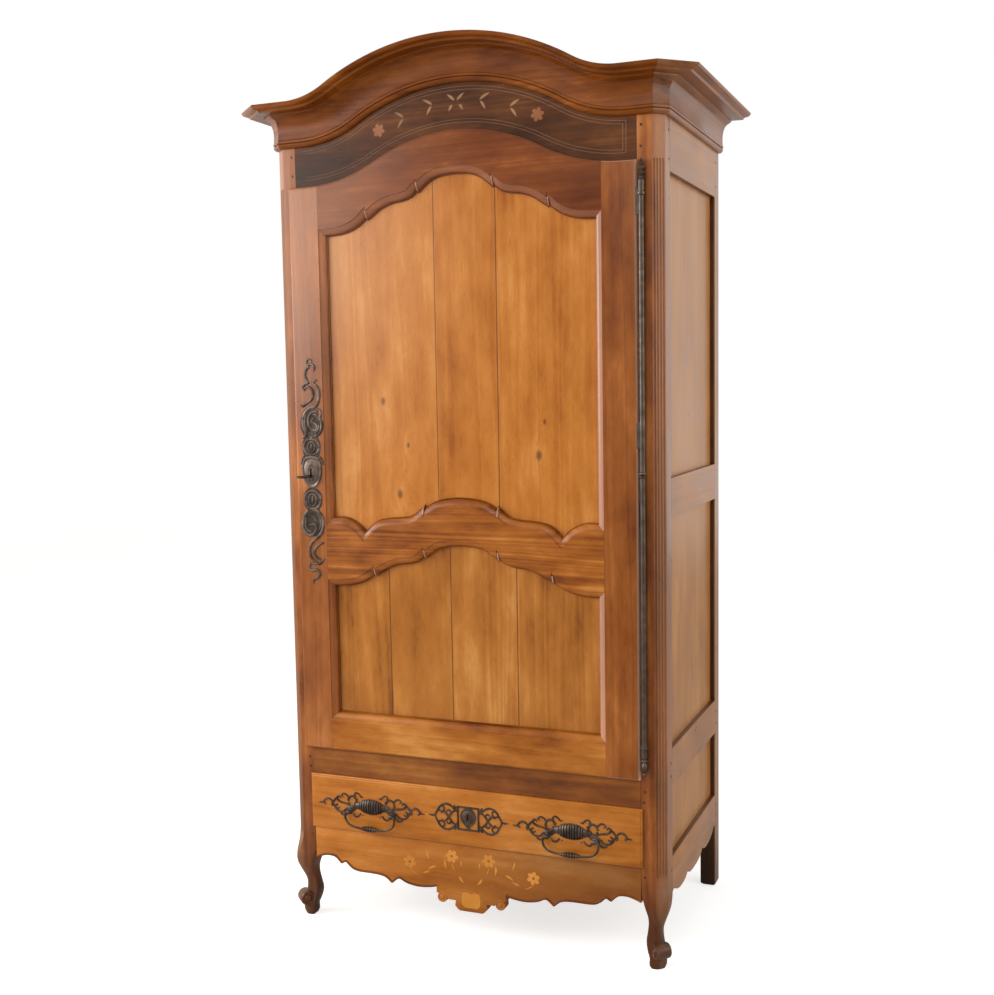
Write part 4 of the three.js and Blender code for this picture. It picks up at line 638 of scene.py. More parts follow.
# the darkest iron: its own brown, and painted shade where the key and the ground of the door plate lie in
# shade
old_iron("browned_and_shaded_iron", "iron", "#2c221c", "#4c4036", 0.42, 0.7)
old_iron("worn_iron", "iron", "#3c2e26", "#78665a", 0.44, 0.6)
old_iron("dull_iron", "iron", "#32271f", "#5e4e42", 0.46, 0.6)
old_iron("rubbed_iron", "iron", "#423830", "#5e5248", 0.4, 0.75)
old_iron("bright_steel", "steel", "#6a645c", "#9a938a", 0.35, 0.95)
print("finishes:", len(finishes))

# %% [markdown]
# ## Drawing aids
#
# A maker draws with a bent batten: a smooth line through a few marks. The next function
# does the same. The arches of the door and of the cornice are drawn with a compass: one
# crown arc between two hollow arcs that run out level, as on the real bonnet.

# %% Battens and arches
def flow(marks, steps):
    """A smooth run of points through a few marks, as a bent batten gives it."""
    marks = [tuple(mark) for mark in marks]
    held = [marks[0], *marks, marks[-1]]
    run = []
    for a, b, c, d in zip(held, held[1:], held[2:], held[3:]):
        for i in range(steps):
            t = i / steps
            run.append(tuple(
                0.5 * (2 * q + (r - p) * t + (2 * p - 5 * q + 4 * r - s) * t * t
                       + (3 * q - p - 3 * r + s) * t ** 3)
                for p, q, r, s in zip(a, b, c, d)
            ))
    return [*run, marks[-1]]


def make_arch(level_z, rise, half_span, crown_share):
    """The radii and angles of a bonnet arch."""
    turn = 2 * math.atan(rise / half_span)
    both = half_span / math.sin(turn)
    crown = both * crown_share
    return {"z": level_z, "rise": rise, "half": half_span, "turn": turn,
            "crown": crown, "hollow": both - crown}


crown_steps, hollow_steps = 36, 12


def arch_stations(arch):
    """Places along an arch as (x, z, angle), from left to right."""
    left = []
    for i in range(hollow_steps):
        angle = arch["turn"] * i / hollow_steps
        left.append((
            -arch["half"] + arch["hollow"] * math.sin(angle),
            arch["z"] + arch["hollow"] * (1 - math.cos(angle)),
            -angle,
        ))
    centre = arch["z"] + arch["rise"] - arch["crown"]
    crown = []
    for i in range(crown_steps + 1):
        angle = arch["turn"] * (2 * i / crown_steps - 1)
        crown.append((arch["crown"] * math.sin(angle), centre + arch["crown"] * math.cos(angle), angle))
    mirrored = [(-x, z, -angle) for x, z, angle in reversed(left)]
    return left + crown + mirrored


def arch_line(arch, offset):
    """The arch moved outwards by an even distance."""
    return [
        (x + offset * math.sin(angle), z + offset * math.cos(angle))
        for x, z, angle in arch_stations(arch)
    ]


door_arch = make_arch(door_shoulder, 102, 400, 0.527)
cornice_arch = make_arch(cornice_base, 113, 410, 0.63)
print("crown radii:", round(door_arch["crown"]), "and", round(cornice_arch["crown"]), "mm")


# %% [markdown]
# Turned work comes off a lathe: a row of circles along an axis, each with its own radius.
# Forged scrolls are bars that were hammered half-round and bent over a horn: a small
# domed section that follows a smooth line and tapers towards its ends.

# %% Turned pieces and forged bars
def circle(centre, side, other, radius, count):
    """Points round a centre, on the plane of two directions."""
    turns = (2 * math.pi * i / count for i in range(count))
    return [centre + (side * math.cos(a) + other * math.sin(a)) * radius * MM for a in turns]


def turned(start, direction, profile, sides):
    """Circles along an axis: profile rows are (distance, radius) in millimetres."""
    axis = Vector(direction).normalized()
    side = axis.orthogonal().normalized()
    other = axis.cross(side)
    return skin([
        circle(start + axis * distance * MM, side, other, max(radius, 0.05), sides)
        for distance, radius in profile
    ])


def neighbours(line, i, closed):
    """The points before and after a point; an open line stops at its ends."""
    if closed:
        return line[i - 1], line[(i + 1) % len(line)]
    return line[max(i - 1, 0)], line[min(i + 1, len(line) - 1)]


dome = ((-1, 0), (-0.9, 0.45), (-0.5, 0.9), (0, 1), (0.5, 0.9), (0.9, 0.45), (1, 0))


def forged(line, widths, face, height, closed=False):
    """A half-round bar along a line of (x, z) points that lies on the plane y = face."""
    outlines = []
    for i, (x, z) in enumerate(line):
        (x0, z0), (x1, z1) = neighbours(line, i, closed)
        length = math.hypot(x1 - x0, z1 - z0) or 1
        nx, nz = -(z1 - z0) / length, (x1 - x0) / length
        share = i / (len(line) - 1) * (len(widths) - 1)
        low = min(int(share), len(widths) - 2)
        width = widths[low] + (widths[low + 1] - widths[low]) * (share - low)
        rise = height * min(1.0, 0.35 + 0.65 * width / max(widths))
        outlines.append([
            spot(x + nx * u * width / 2, face - v * rise, z + nz * u * width / 2) for u, v in dome
        ])
    return skin(outlines, ring=closed)


def rod(points, radius, flat=(0, 1, 0), closed=False, sides=12):
    """A round rod along points in millimetres, on a plane that is square to flat."""
    outlines = []
    for i, point in enumerate(points):
        before, after = neighbours(points, i, closed)
        axis = (Vector(after) - Vector(before)).normalized()
        side = axis.cross(Vector(flat)).normalized()
        width = radius(i / (len(points) - 1)) if callable(radius) else radius
        outlines.append(circle(spot(*point), side, axis.cross(side), width, sides))
    return skin(outlines, ring=closed)


# %% [markdown]
# ## Front posts and cabriole legs
#
# Each front corner is one long timber: a canted shaft with four flutes, and below it the
# leg, sawn and rasped out of the same wood. The knee swells outwards, the ankle draws in,
# and the toe rolls forward. A chain of sections from head to foot makes it in one skin:
# over the shaft the sections carry the four hollows, at the flute ends these fade out in
# a round stop, and down the leg the section's four sides move by the same shares as in
# the measured model, smoothed with the batten.

# %% The section of a post
post_face, post_side, cant_leg = 58, 68, 24
flute_pitch, flute_radius = 7.6, 2.6
flute_foot, flute_head = 218, 1857
knee_top = 232


def rounded(x, y, soft, first):
    """Four points round a corner; first is the angle at which they start."""
    return [
        (x + soft * math.cos(first + i * math.pi / 6), y + soft * math.sin(first + i * math.pi / 6))
        for i in range(4)
    ]


def post_section(z, outer, face, side, cant, soft, depth):
    """One outline of the right-hand post, seen from above."""
    out_x, out_y = body_half - post_face * outer, post_face * outer
    in_x, in_y = body_half - post_face * face, post_side * side
    leg = cant_leg * cant
    points = rounded(in_x + soft, out_y + soft, soft, math.pi)
    points.append((out_x - leg, out_y))
    bulge = 0.22 * leg * (1 - cant)
    for flute in range(4):
        for step in range(7):
            turn = math.pi * step / 6
            along = ((flute - 1.5) * flute_pitch - flute_radius * math.cos(turn)) * cant
            sunk = flute_radius * math.sin(turn) * depth - bulge * (1 - (along / (leg * 0.71 + 0.01)) ** 2)
            points.append((
                out_x - leg / 2 + (along - sunk) * math.sqrt(0.5),
                out_y + leg / 2 + (along + sunk) * math.sqrt(0.5),
            ))
    points.append((out_x, out_y + leg))
    points += rounded(out_x - soft, in_y - soft, soft, 0)
    points += rounded(in_x + soft, in_y - soft, soft, math.pi / 2)
    return [spot(x, y, z) for x, y in points]


# %% The two front posts
leg_shares = (
    (1, 0, 1, 1, 1), (0.88, -0.015, 1, 1, 0.88), (0.78, -0.04, 0.985, 0.91, 0.6),
    (0.7, -0.055, 0.92, 0.83, 0.4), (0.62, -0.035, 0.835, 0.725, 0.36),
    (0.55, 0.045, 0.77, 0.665, 0.36), (0.48, 0.15, 0.765, 0.66, 0.36),
    (0.41, 0.245, 0.8, 0.69, 0.36), (0.35, 0.275, 0.84, 0.72, 0.36),
    (0.28, 0.26, 0.88, 0.755, 0.36), (0.22, 0.215, 0.86, 0.74, 0.36),
    (0.16, 0.165, 0.8, 0.685, 0.4), (0.105, 0.12, 0.725, 0.62, 0.5),
    (0.04, 0.11, 0.73, 0.625, 0.6), (0, 0.16, 0.67, 0.575, 0.6),
)
straight, arris = (0, 1, 1, 1), 0.8
outlines = [post_section(post_top, *straight, arris, 0)]
for z, depth in ((flute_head + 1, 0), (flute_head, 0.35), (flute_head - 1, 0.8), (flute_head - 3, 1)):
    outlines.append(post_section(z, *straight, arris, depth))
outlines.append(post_section(knee_top + 2, *straight, arris, 1))
for share, *values in flow(leg_shares, 4):
    z = knee_top * share
    depth = max(0.0, min(1.0, (z - flute_foot) / 4))
    outlines.append(post_section(z, *values, arris + 4.5 * min(1, (1 - share) * 3), depth))
post = skin(outlines)
print("post outlines:", len(outlines), "with", len(outlines[0]), "points each")

# %% [markdown]
# The toe is a little roll of wood that lies across the corner, with a raised button in
# the middle of each end. It is turned work, so it is made as a row of circles along the
# roll: out over the rim, into the groove, and out again over the button. The left post
# also has the pocket that the lock's bolt shoots into.

# %% The scrolled toes
toe_half = [(14.5, 18.5), (17, 18.1), (18.6, 17), (19, 15.6), (18.8, 13.2), (17.6, 12.2),
            (17.2, 11), (18, 9.4), (19.6, 8.6), (20.9, 6.6), (21.5, 3.4), (21.6, 0.4)]
toe_profile = [(-s, r) for s, r in reversed(toe_half)] + toe_half
toe = turned(spot(body_half - 15.3, 15.3, 44), (1, 1, 0), toe_profile, sides=32)
left_shaft = flipped(post)
bolt_pocket = upright_box(-444.6, -425, 24.4, 33.7, 1163.4, 1178.6)
carve(left_shaft, bolt_pocket)
left_post = together([left_shaft, flipped(toe)])
right_post = together([post, toe])
fit(right_post, "right_front_post", "carcass", "upright_frame", ["front_post_right"])
fit(left_post, "left_front_post", "carcass", "upright_frame", ["front_post_left"])
print("posts:", len(right_post.data.polygons), "and", len(left_post.data.polygons), "faces")

# %% [markdown]
# ## Cornice
#
# The cornice is the hat of the piece: a bead, a fillet, a deep cove and a projecting
# shelf with a rounded nose. On the real one the front is built up in lengths, because a
# plane can't follow the bonnet, while the two returns are planed straight and mitred on.
# Here the moulding's outline is extruded from station to station along the arch. Every
# station is square to the arch, so the moulding keeps its width over the crown.

# %% The cornice moulding
cornice_height, cornice_out, cornice_rear = 96, 84, 596
moulding = [
    *flow(((0.03, 0), (0.08, 0.01), (0.13, 0.05), (0.145, 0.1)), 3),
    (0.12, 0.125), (0.155, 0.135),
    *flow(((0.155, 0.18), (0.135, 0.22), (0.13, 0.42), (0.16, 0.58), (0.23, 0.71), (0.39, 0.8)), 4),
    (0.4, 0.835), (0.76, 0.835), (0.8, 0.885),
    *flow(((0.845, 0.89), (0.95, 0.92), (1, 0.985)), 4),
    (0.985, 1),
]
moulding = [(p * cornice_out, h * cornice_height) for p, h in moulding]
moulding += [(0.3, cornice_height), (0.3, 0)]
mitre = math.tan(math.pi / 8)
corner_x = body_half - cant_leg


def cornice_end(side):
    """The mitred end of the front moulding."""
    return [spot(side * (corner_x - hair + p * mitre), -p, cornice_base + h) for p, h in moulding]


along = [
    [spot(x + h * math.sin(a), -p, z + h * math.cos(a)) for p, h in moulding]
    for x, z, a in arch_stations(cornice_arch)
]
front_cornice = skin([cornice_end(-1), *along, cornice_end(1)])
fit(front_cornice, "bonnet_cornice", "carcass", "cornice_wood", ["cornice_front"], angle=24)

away = hair * math.sqrt(0.5)
cornice_side = skin([
    [spot(corner_x + p * mitre + away, -p + away, cornice_base + h) for p, h in moulding],
    [spot(body_half + p, cant_leg - p * mitre, cornice_base + h) for p, h in moulding],
    [spot(body_half + p, cornice_rear, cornice_base + h) for p, h in moulding],
])
fit_pair(cornice_side, "{}_cornice_return", "carcass", "cornice_return", "cornice_side_{}", angle=24)
print("cornice moulding:", len(moulding), "points,", len(along) + 2, "stations")

# %% [markdown]
# ## Frieze
#
# Between the door and the cornice lies the frieze, stained nearly black so that its inlay
# stands out. It is one board, sawn to both arches.

# %% The frieze board
rail_half = opening_half - hair
behind_cornice, board_thick = 50, 28
low, high = door_shoulder - lap, cornice_base + behind_cornice
frieze = board([
    (-rail_half, low), *arch_line(door_arch, -lap), (rail_half, low),
    (rail_half, high), *reversed(arch_line(cornice_arch, behind_cornice)), (-rail_half, high),
], 0, board_thick)
fit(frieze, "frieze_board", "carcass", "frieze_stain", ["frieze_rail"])
print("frieze:", len(frieze.data.vertices), "corners")

# %% [markdown]
# ## Door
#
# The door is a frame of two stiles and three rails, all with a moulding along their inner
# edges, and the middle and top edges are shaped like a drawn bow. A joiner would shape
# each member and mitre the mouldings at the joints. It is simpler, and gives the same
# joints, to make the whole field at once, sink both openings into it with a moulded
# cutter, and then part it along the joints.
#
# The cutter's outlines must keep an even distance from the opening's edge, also where two
# curves meet in a point. There the offset curves are cut off where they cross, or run on
# until they meet, as a mitre does. The short upright sides of the notches stay where they
# are: the moulding is cut off along them, as a carver stops it.

# %% Mitred offsets
def crossing(a, b, c, d):
    """Where the line a-b meets the line c-d, with the shares along both."""
    ux, uz, vx, vz = b[0] - a[0], b[1] - a[1], d[0] - c[0], d[1] - c[1]
    turn = ux * vz - uz * vx
    if abs(turn) < 1e-9:
        return None
    s = ((c[0] - a[0]) * vz - (c[1] - a[1]) * vx) / turn
    t = ((c[0] - a[0]) * uz - (c[1] - a[1]) * ux) / turn
    return (a[0] + ux * s, a[1] + uz * s), s, t


def beside(run, distance):
    """A run of points moved sideways, to its right-hand side."""
    moved = []
    for i, (x, z) in enumerate(run):
        normals = []
        for (ax, az), (bx, bz) in zip(run[max(i - 1, 0):i + 1], run[max(i, 1):i + 2]):
            length = math.hypot(bx - ax, bz - az)
            normals.append(((bz - az) / length, -(bx - ax) / length))
        nx, nz = sum(n[0] for n in normals), sum(n[1] for n in normals)
        size = math.hypot(nx, nz)
        nx, nz = nx / size, nz / size
        reach = distance / max(nx * normals[0][0] + nz * normals[0][1], 0.2)
        moved.append((x + nx * reach, z + nz * reach))
    return moved


notch_side = 20


def mitred(runs, distance):
    """A closed outline of smooth runs, grown by a distance, with true mitres between runs."""
    still = [math.dist(run[0], run[-1]) < notch_side for run in runs]
    moved = [list(run) if held else beside(run, distance) for run, held in zip(runs, still)]
    for i, before in enumerate(moved):
        after = moved[(i + 1) % len(moved)]
        before_held, after_held = still[i], still[(i + 1) % len(moved)]
        met = None
        for back in range(len(before) - 1, 0, -1):
            for forth in range(len(after) - 1):
                hit = crossing(before[back - 1], before[back], after[forth], after[forth + 1])
                if hit and (before_held or 0 <= hit[1] <= 1) and (after_held or 0 <= hit[2] <= 1):
                    met = (back, forth, hit[0])
                    break
            if met:
                break
        if met:
            back, forth, point = met
            before[back:] = [point] * (len(before) - back)
            after[:forth + 1] = [point] * (forth + 1)
        else:
            hit = crossing(before[-2], before[-1], after[0], after[1])
            point = hit[0] if hit else after[0]
            before[-1] = point
            after[0] = point
    return [point for run in moved for point in run[:-1]]


square = [(0, 0), (40, 0), (40, 40), (0, 40)]
print("a square, grown by 1:", mitred([list(pair) for pair in zip(square, square[1:] + square[:1])], 1))

# %% [markdown]
# The bow over each panel is drawn as three smooth runs on each side, with an upright notch
# between them: shares of half the opening's width and of the rise.

# %% The two openings
door_left, door_right = -447, 432
door_middle = (door_left + door_right) / 2
stile_width, mould_width = 81, 18
face_reach = (door_right - door_left) / 2 - stile_width
sight_half = face_reach - mould_width
upper_top, upper_bottom, lower_top, lower_bottom = 1734, 1047, 872, 553
hood_runs = (
    ((1, 0), (0.88, 0.025), (0.78, 0.11), (0.72, 0.21), (0.674, 0.32)),
    ((0.674, 0.265), (0.62, 0.36), (0.57, 0.45), (0.49, 0.535), (0.4, 0.57), (0.33, 0.635), (0.276, 0.76)),
    ((0.276, 0.705), (0.22, 0.83), (0.17, 0.92), (0.1, 0.98), (0, 1)),
)
saddle_runs = (
    ((1, 0), (0.93, 0.01), (0.87, -0.08), (0.8, -0.33), (0.75, -0.64)),
    ((0.75, -0.64), (0.7, -0.32), (0.64, -0.1), (0.55, 0.01), (0.45, 0.06), (0.37, 0.18), (0.278, 0.65)),
    ((0.278, 0.52), (0.2, 0.8), (0.11, 0.95), (0, 1)),
)


def bow(runs, level_z, rise):
    """The shaped edge from right to left as smooth runs of (x, z) points."""
    halves = []
    for run in runs:
        points = [(sight_half * x, level_z + rise * z) for x, z in flow(run, 5)]
        if halves and math.dist(halves[-1][-1], points[0]) > 0.1:
            halves.append([halves[-1][-1], points[0]])
        halves.append(points)
    rightwards = [[(door_middle + x, z) for x, z in run] for run in halves]
    leftwards = [[(door_middle - x, z) for x, z in reversed(run)] for run in reversed(halves)]
    crown = rightwards[-1] + leftwards[0][1:]
    return [*rightwards[:-1], crown, *leftwards[1:]]


def turned_round(runs):
    """The same runs, walked the other way."""
    return [list(reversed(run)) for run in reversed(runs)]


x0, x1 = door_middle - sight_half, door_middle + sight_half
upper_sight = [
    *turned_round(bow(saddle_runs, upper_bottom, 53)),
    [(x1, upper_bottom), (x1, upper_top)],
    *bow(hood_runs, upper_top, 125),
    [(x0, upper_top), (x0, upper_bottom)],
]
lower_sight = [
    [(x0, lower_bottom), (x1, lower_bottom)],
    [(x1, lower_bottom), (x1, lower_top)],
    *bow(hood_runs, lower_top, 110),
    [(x0, lower_top), (x0, lower_bottom)],
]
print("runs round the openings:", len(upper_sight), "and", len(lower_sight))

# %% The moulded field
panel_face, door_front, door_rear = 8, -12, 22
groove_deep, groove_wide = 9, 8.6
mould_shares = (
    (0, 0), (0, 0.12), (0.015, 0.17), (0.06, 0.21), (0.1, 0.21), (0.14, 0.17), (0.15, 0.14),
    (0.16, 0.24), (0.18, 0.42), (0.22, 0.54), (0.28, 0.62), (0.36, 0.685), (0.47, 0.745), (0.6, 0.8),
    (0.75, 0.85), (0.88, 0.885), (0.97, 0.9), (1, 0.905),
)
mould_stations = [(mould_width * w, panel_face - (panel_face - door_front) * d) for w, d in mould_shares]
round_from = 8


def opening_cutter(sight):
    """The cutter that sinks an opening with its moulding into the door's face."""
    stations = [(0, door_rear + 6), *mould_stations, (mould_width, door_front - 6)]
    return skin([[spot(x, y, z) for x, z in mitred(sight, grow)] for grow, y in stations])


def notch_highlight_ridges(sight):
    """Thin ridges across the moulding, where it starts again beside each notch."""
    stops, start = [], 0
    for run in sight:
        if math.dist(run[0], run[-1]) < notch_side:
            left = run[0][0] < door_middle
            corner = start if left else start + len(run) - 1
            across = [(*mitred(sight, grow)[corner], y) for grow, y in mould_stations[round_from:]]
            aside, stout = (0, 1.5) if left else (3, 1.8)
            stops.append(rod([(x + aside, y, z) for x, z, y in across], stout, flat=(1, 0, 0), sides=8))
        start += len(run) - 1
    return stops


def door_outline(left, right, bottom, inset):
    """The door's edge, arched at the top."""
    return [
        (left, bottom), (right, bottom), (right, door_shoulder - inset),
        *reversed(arch_line(door_arch, -inset)), (left, door_shoulder - inset),
    ]


body_line = door_outline(-opening_half + play, opening_half - play, door_sill + play, lap + play)
rings = [[spot(x, y, z) for x, z in body_line] for y in (door_rear, -hair)]
for y, inset in [(-hair, 0)] + [
    (-5 - 7 * math.sin(a), 7 * (1 - math.cos(a))) for a in (math.pi / 2 * i / 5 for i in range(6))
]:
    lip = door_outline(door_left + inset, door_right - inset, door_sill - lap + inset, inset)
    rings.append([spot(x, y, z) for x, z in lip])
field = skin(rings)
for sight in (upper_sight, lower_sight):
    carve(field, opening_cutter(sight))
for sight in (upper_sight, lower_sight):
    carve(field, board(mitred(sight, groove_deep), panel_face, panel_face + groove_wide))
print("field:", len(field.data.polygons), "faces")

# %% [markdown]
# The parting follows the joints. Across the moulding it runs at 45 degrees, as mitres do,
# and between the mouldings it follows the shoulder of the tenon. The stiles have upright
# grain and the rails level grain, and that change is what shows the joint in the photo. At
# each notch a thin ridge crosses the moulding, painted pale as a highlight.

# %% Part the field into stiles and rails
def stile_region(side, grow):
    """Everything that belongs to one stile."""
    reach = face_reach + stile_width + 6
    step = 2 * mould_width
    corners = [
        (reach, door_sill - 14), (reach, door_shoulder + 110), (face_reach, door_shoulder + 110),
        (face_reach, upper_top + mould_width), (face_reach - step, upper_top + mould_width - step),
        (face_reach - step, upper_bottom - mould_width + step), (face_reach, upper_bottom - mould_width),
        (face_reach, lower_top + mould_width), (face_reach - step, lower_top + mould_width - step),
        (face_reach - step, lower_bottom - mould_width + step), (face_reach, lower_bottom - mould_width),
        (face_reach, door_sill - 14),
    ]
    edges = [list(pair) for pair in zip(corners, corners[1:] + corners[:1])]
    line = [(door_middle + side * u, z) for u, z in mitred(edges, -grow)]
    return board(line, door_front - 6, door_rear + 6)


def keep(piece, cutter):
    """The part of a copy that lies inside a cutter."""
    return carve(twin(piece), cutter, "INTERSECT")


lock_stile = keep(field, stile_region(-1, 0))
hinge_stile = keep(field, stile_region(1, 0))
for side in (-1, 1):
    carve(field, stile_region(side, -hair))
high_cut, low_cut = (upper_top + upper_bottom) / 2, (lower_top + lower_bottom) / 2
door_rails = [
    keep(field, board([(-600, a), (600, a), (600, b), (-600, b)], -40, 60))
    for a, b in ((high_cut, 2200), (low_cut, high_cut), (300, low_cut))
]
discard(field)
key_x, lock_z = -403, 1149


def oval(x, z, half_x, half_z, count=20):
    """Points round an ellipse."""
    turns = (2 * math.pi * i / count for i in range(count))
    return [(x + half_x * math.cos(turn), z + half_z * math.sin(turn)) for turn in turns]


def keyhole(piece, x, z, radius=4.4, slot=5, rise=19):
    """A round hole with a slot over it, cut right through."""
    side = slot / 2
    slit = [(x - side, z), (x + side, z), (x + side, z + rise), (x - side, z + rise)]
    for outline in (oval(x, z, radius, radius), slit):
        carve(piece, board(outline, -30, 60))


keyhole(lock_stile, key_x, lock_z)
# thin pale ridges at the notches stand for a painted highlight
stops = [stop for sight in (upper_sight, lower_sight) for stop in notch_highlight_ridges(sight)]
fit(together(stops), "notch_highlight_ridges", "door", "notch_highlight_wood")
fit(lock_stile, "lock_stile", "door", "upright_stile", ["door_stile_lock"])
fit(hinge_stile, "hinge_stile", "door", "hinge_stile_highlit", ["door_stile_hinge"])
for piece, (name, finish, node) in zip(door_rails, (
    ("arched_top_rail", "arched_rail", "door_top_rail"),
    ("saddle_rail", "level_door_rail", "door_mid_rail"),
    ("bottom_rail", "low_door_rail", "door_bottom_rail"),
)):
    fit(piece, name, "door", finish, [node])
print("door members:", [len(p.data.polygons) for p in (lock_stile, hinge_stile, *door_rails)])

# %% [markdown]
# ## Drawer front and aprons
#
# The drawer front overlaps its opening with a thumb-moulded lip, as drawers of this kind
# do. The apron under it is sawn to a scalloped line with a small drop in the middle.

# %% The drawer front
def panel_line(half, low, high, inset):
    """A rectangle, stepped in from its edges."""
    return [(-half + inset, low + inset), (half - inset, low + inset),
            (half - inset, high - inset), (-half + inset, high - inset)]


drawer_top, drawer_lip = 380, 5
core = panel_line(opening_half - play, drawer_sill + play, drawer_top - play, 0)
rings = [[spot(x, y, z) for x, z in core] for y in (20, -hair)]
for y, inset in ((-hair, 0), (-3.2, 0), (-4.4, 0.4), (-5.3, 1.3), (-5.8, 2.6), (-5.9, 4.2), (-6.6, 4.4),
                 (-7.5, 5.2), (-8, 6.8)):
    lip = panel_line(opening_half + drawer_lip, drawer_sill - drawer_lip, drawer_top + drawer_lip, inset)
    rings.append([spot(x, y, z) for x, z in lip])
drawer_face = skin(rings)
mounts_z = 314
keyhole(drawer_face, 0, mounts_z, slot=3.6, rise=11)
fit(drawer_face, "lipped_drawer_front", "drawer", "drawer_wood", ["drawer_front"])
print("drawer front:", len(drawer_face.data.polygons), "faces")

# %% The scalloped front apron
apron_drop = 175
apron_runs = (
    ((1, 0.52), (0.965, 0.485), (0.92, 0.46), (0.87, 0.475), (0.83, 0.56)),
    ((0.83, 0.56), (0.8, 0.53), (0.765, 0.6), (0.72, 0.64), (0.6, 0.645), (0.54, 0.67), (0.5, 0.745)),
    ((0.5, 0.745), (0.455, 0.665), (0.4, 0.715), (0.33, 0.74), (0.26, 0.725), (0.215, 0.7)),
)
drop_marks = ((0.215, 0.78), (0.15, 0.83), (0.145, 0.86), (0.095, 0.86), (0.1, 0.93), (0.085, 0.975),
              (0.07, 1))
half_line = [mark for run in apron_runs for mark in flow(run, 6)[:-1]] + [apron_runs[-1][-1], *drop_marks]
apron_left = [(-rail_half * x, drawer_sill - apron_drop * z) for x, z in half_line]
apron_right = [(-x, z) for x, z in reversed(apron_left)]
apron = board([*apron_left, *apron_right, (rail_half, drawer_sill), (-rail_half, drawer_sill)], 0, 25)
soften(apron, 0.8, angle=50)
for side in (-1, 1):
    scroll = turned(spot(side * 77, 25, 103), (0, -1, 0), [
        (0, 13), (24, 13), (25, 12.4), (25.6, 11.2), (25.2, 9.4), (24.4, 8.4), (24.2, 7), (25, 6),
        (26, 5), (26.4, 3), (26.5, 0.3),
    ], sides=28)
    apron = together([apron, scroll])
fit(apron, "scalloped_apron", "carcass", "apron_wood", ["front_apron"])
bead_line = [(x, z + 3.4) for x, z in apron_left[:-len(drop_marks)]]
beads = [forged([(way * x, z) for x, z in bead_line], (6, 6), 0, 2) for way in (1, -1)]
fit(together(beads), "apron_bead", "carcass", "cornice_wood")
print("apron:", len(apron.data.polygons), "faces")

# %% The side aprons
side_apron_top, side_apron_drop = 254, 107
side_runs = (
    ((1, 0.8), (0.93, 0.76), (0.86, 0.84), (0.74, 0.93), (0.6, 0.96), (0.45, 0.94), (0.34, 0.85)),
    ((0.34, 0.85), (0.26, 0.95), (0.12, 0.995), (0, 1)),
)
side_rear = 550
side_half, side_middle = (side_rear - post_side) / 2 - hair, (side_rear + post_side) / 2
half_line = [mark for run in side_runs for mark in flow(run, 6)[:-1]]
front_part = [(side_middle - side_half * y, side_apron_top - side_apron_drop * z) for y, z in half_line]
rear_part = [(2 * side_middle - y, z) for y, z in reversed(front_part)]
line = [*front_part, (side_middle, side_apron_top - side_apron_drop), *rear_part,
        (side_middle + side_half, side_apron_top), (side_middle - side_half, side_apron_top)]
faces = (body_half - board_thick, body_half)
side_apron = soften(skin([[spot(x, y, z) for y, z in line] for x in faces]), 0.8, angle=50)
fit_pair(side_apron, "{}_side_apron", "carcass", "side_level", "side_apron_{}")
print("side aprons:", len(side_apron.data.polygons), "faces each")

# %% [markdown]
# ## Pole hinge
#
# The door turns on a long pole hinge. Its ends are turned like a candlestick: a row of
# balls, a baluster and a barrel with a wide collar. Each half carries two flat leaves.

# %% The pole and its turned ends
hinge_x, hinge_y, hinge_split = 442, -9.4, 1159.2
hinge_top, hinge_bottom = 1858, 466
upper_knop = [(0, 0.5), (0.6, 2), (1.8, 3.1), (3.2, 3.3), (4.6, 2.6), (5.4, 1.8), (6.2, 2.2), (8, 4.2),
              (10, 5), (12, 4.2), (13.6, 2.6), (14.6, 2.8), (16.2, 5), (18.6, 6.9), (21, 7.6), (23.4, 6.9),
              (25.6, 4.6), (26.8, 3.4), (28, 3.6), (30.5, 6.4), (32.6, 8.2), (33.8, 8.5), (34.8, 7.4),
              (36.2, 4.6), (38, 3.8), (40, 5), (41, 7.2), (42.4, 7.6), (43.6, 6.6), (45, 5.6), (47, 6.4),
              (48, 7.2), (70, 7.2), (71, 6.2), (73, 6.2), (74, 8.4), (79, 8.6), (80, 8.2), (81.2, 6.4),
              (86, 6.2)]
lower_knop = [(0, 0.5), (0.8, 2.4), (2.4, 3.6), (4.4, 3.9), (6.2, 3), (7.2, 2.2), (8.4, 2.8), (11, 4.6),
              (15, 6.2), (20, 7.4), (24, 7.2), (28, 5.6), (31, 4.2), (33, 3.8), (34.4, 5), (35.6, 7.4),
              (37.4, 8), (39, 7.2), (40.2, 5.4), (42, 5.8), (43, 7.2), (60, 7.2), (61, 6.2), (63, 6.2),
              (64, 8.2), (68, 8.5), (70, 8.2), (71.4, 6.4), (76, 6.2)]
upper_collar = ((8, 6.2), (6.4, 7.6), (4.6, 8.6), (2.2, 8.6), (1.5, 7.6))
lower_collar = ((7, 6.2), (5.4, 7.6), (4, 8.6), (2, 8.6), (1.5, 7.6))


def pole(end, way, knop, collar):
    """One half of the pole: its knop, the plain rod and the collar where the halves meet."""
    length = abs(end - hinge_split)
    profile = knop + [(length - back, radius) for back, radius in collar]
    return turned(spot(hinge_x, hinge_y, end), (0, 0, way), profile, sides=20)


upper_pole = pole(hinge_top, -1, upper_knop, upper_collar)
lower_pole = pole(hinge_bottom, 1, lower_knop, lower_collar)
leaf_height, leaf_reach, leaf_half = 60, 34, 1.5


def leaf(x0, x1, y0, y1, low):
    """A flat hinge leaf with eased edges."""
    return soften(upright_box(x0, x1, y0, y1, low, low + leaf_height), 0.5, steps=1)


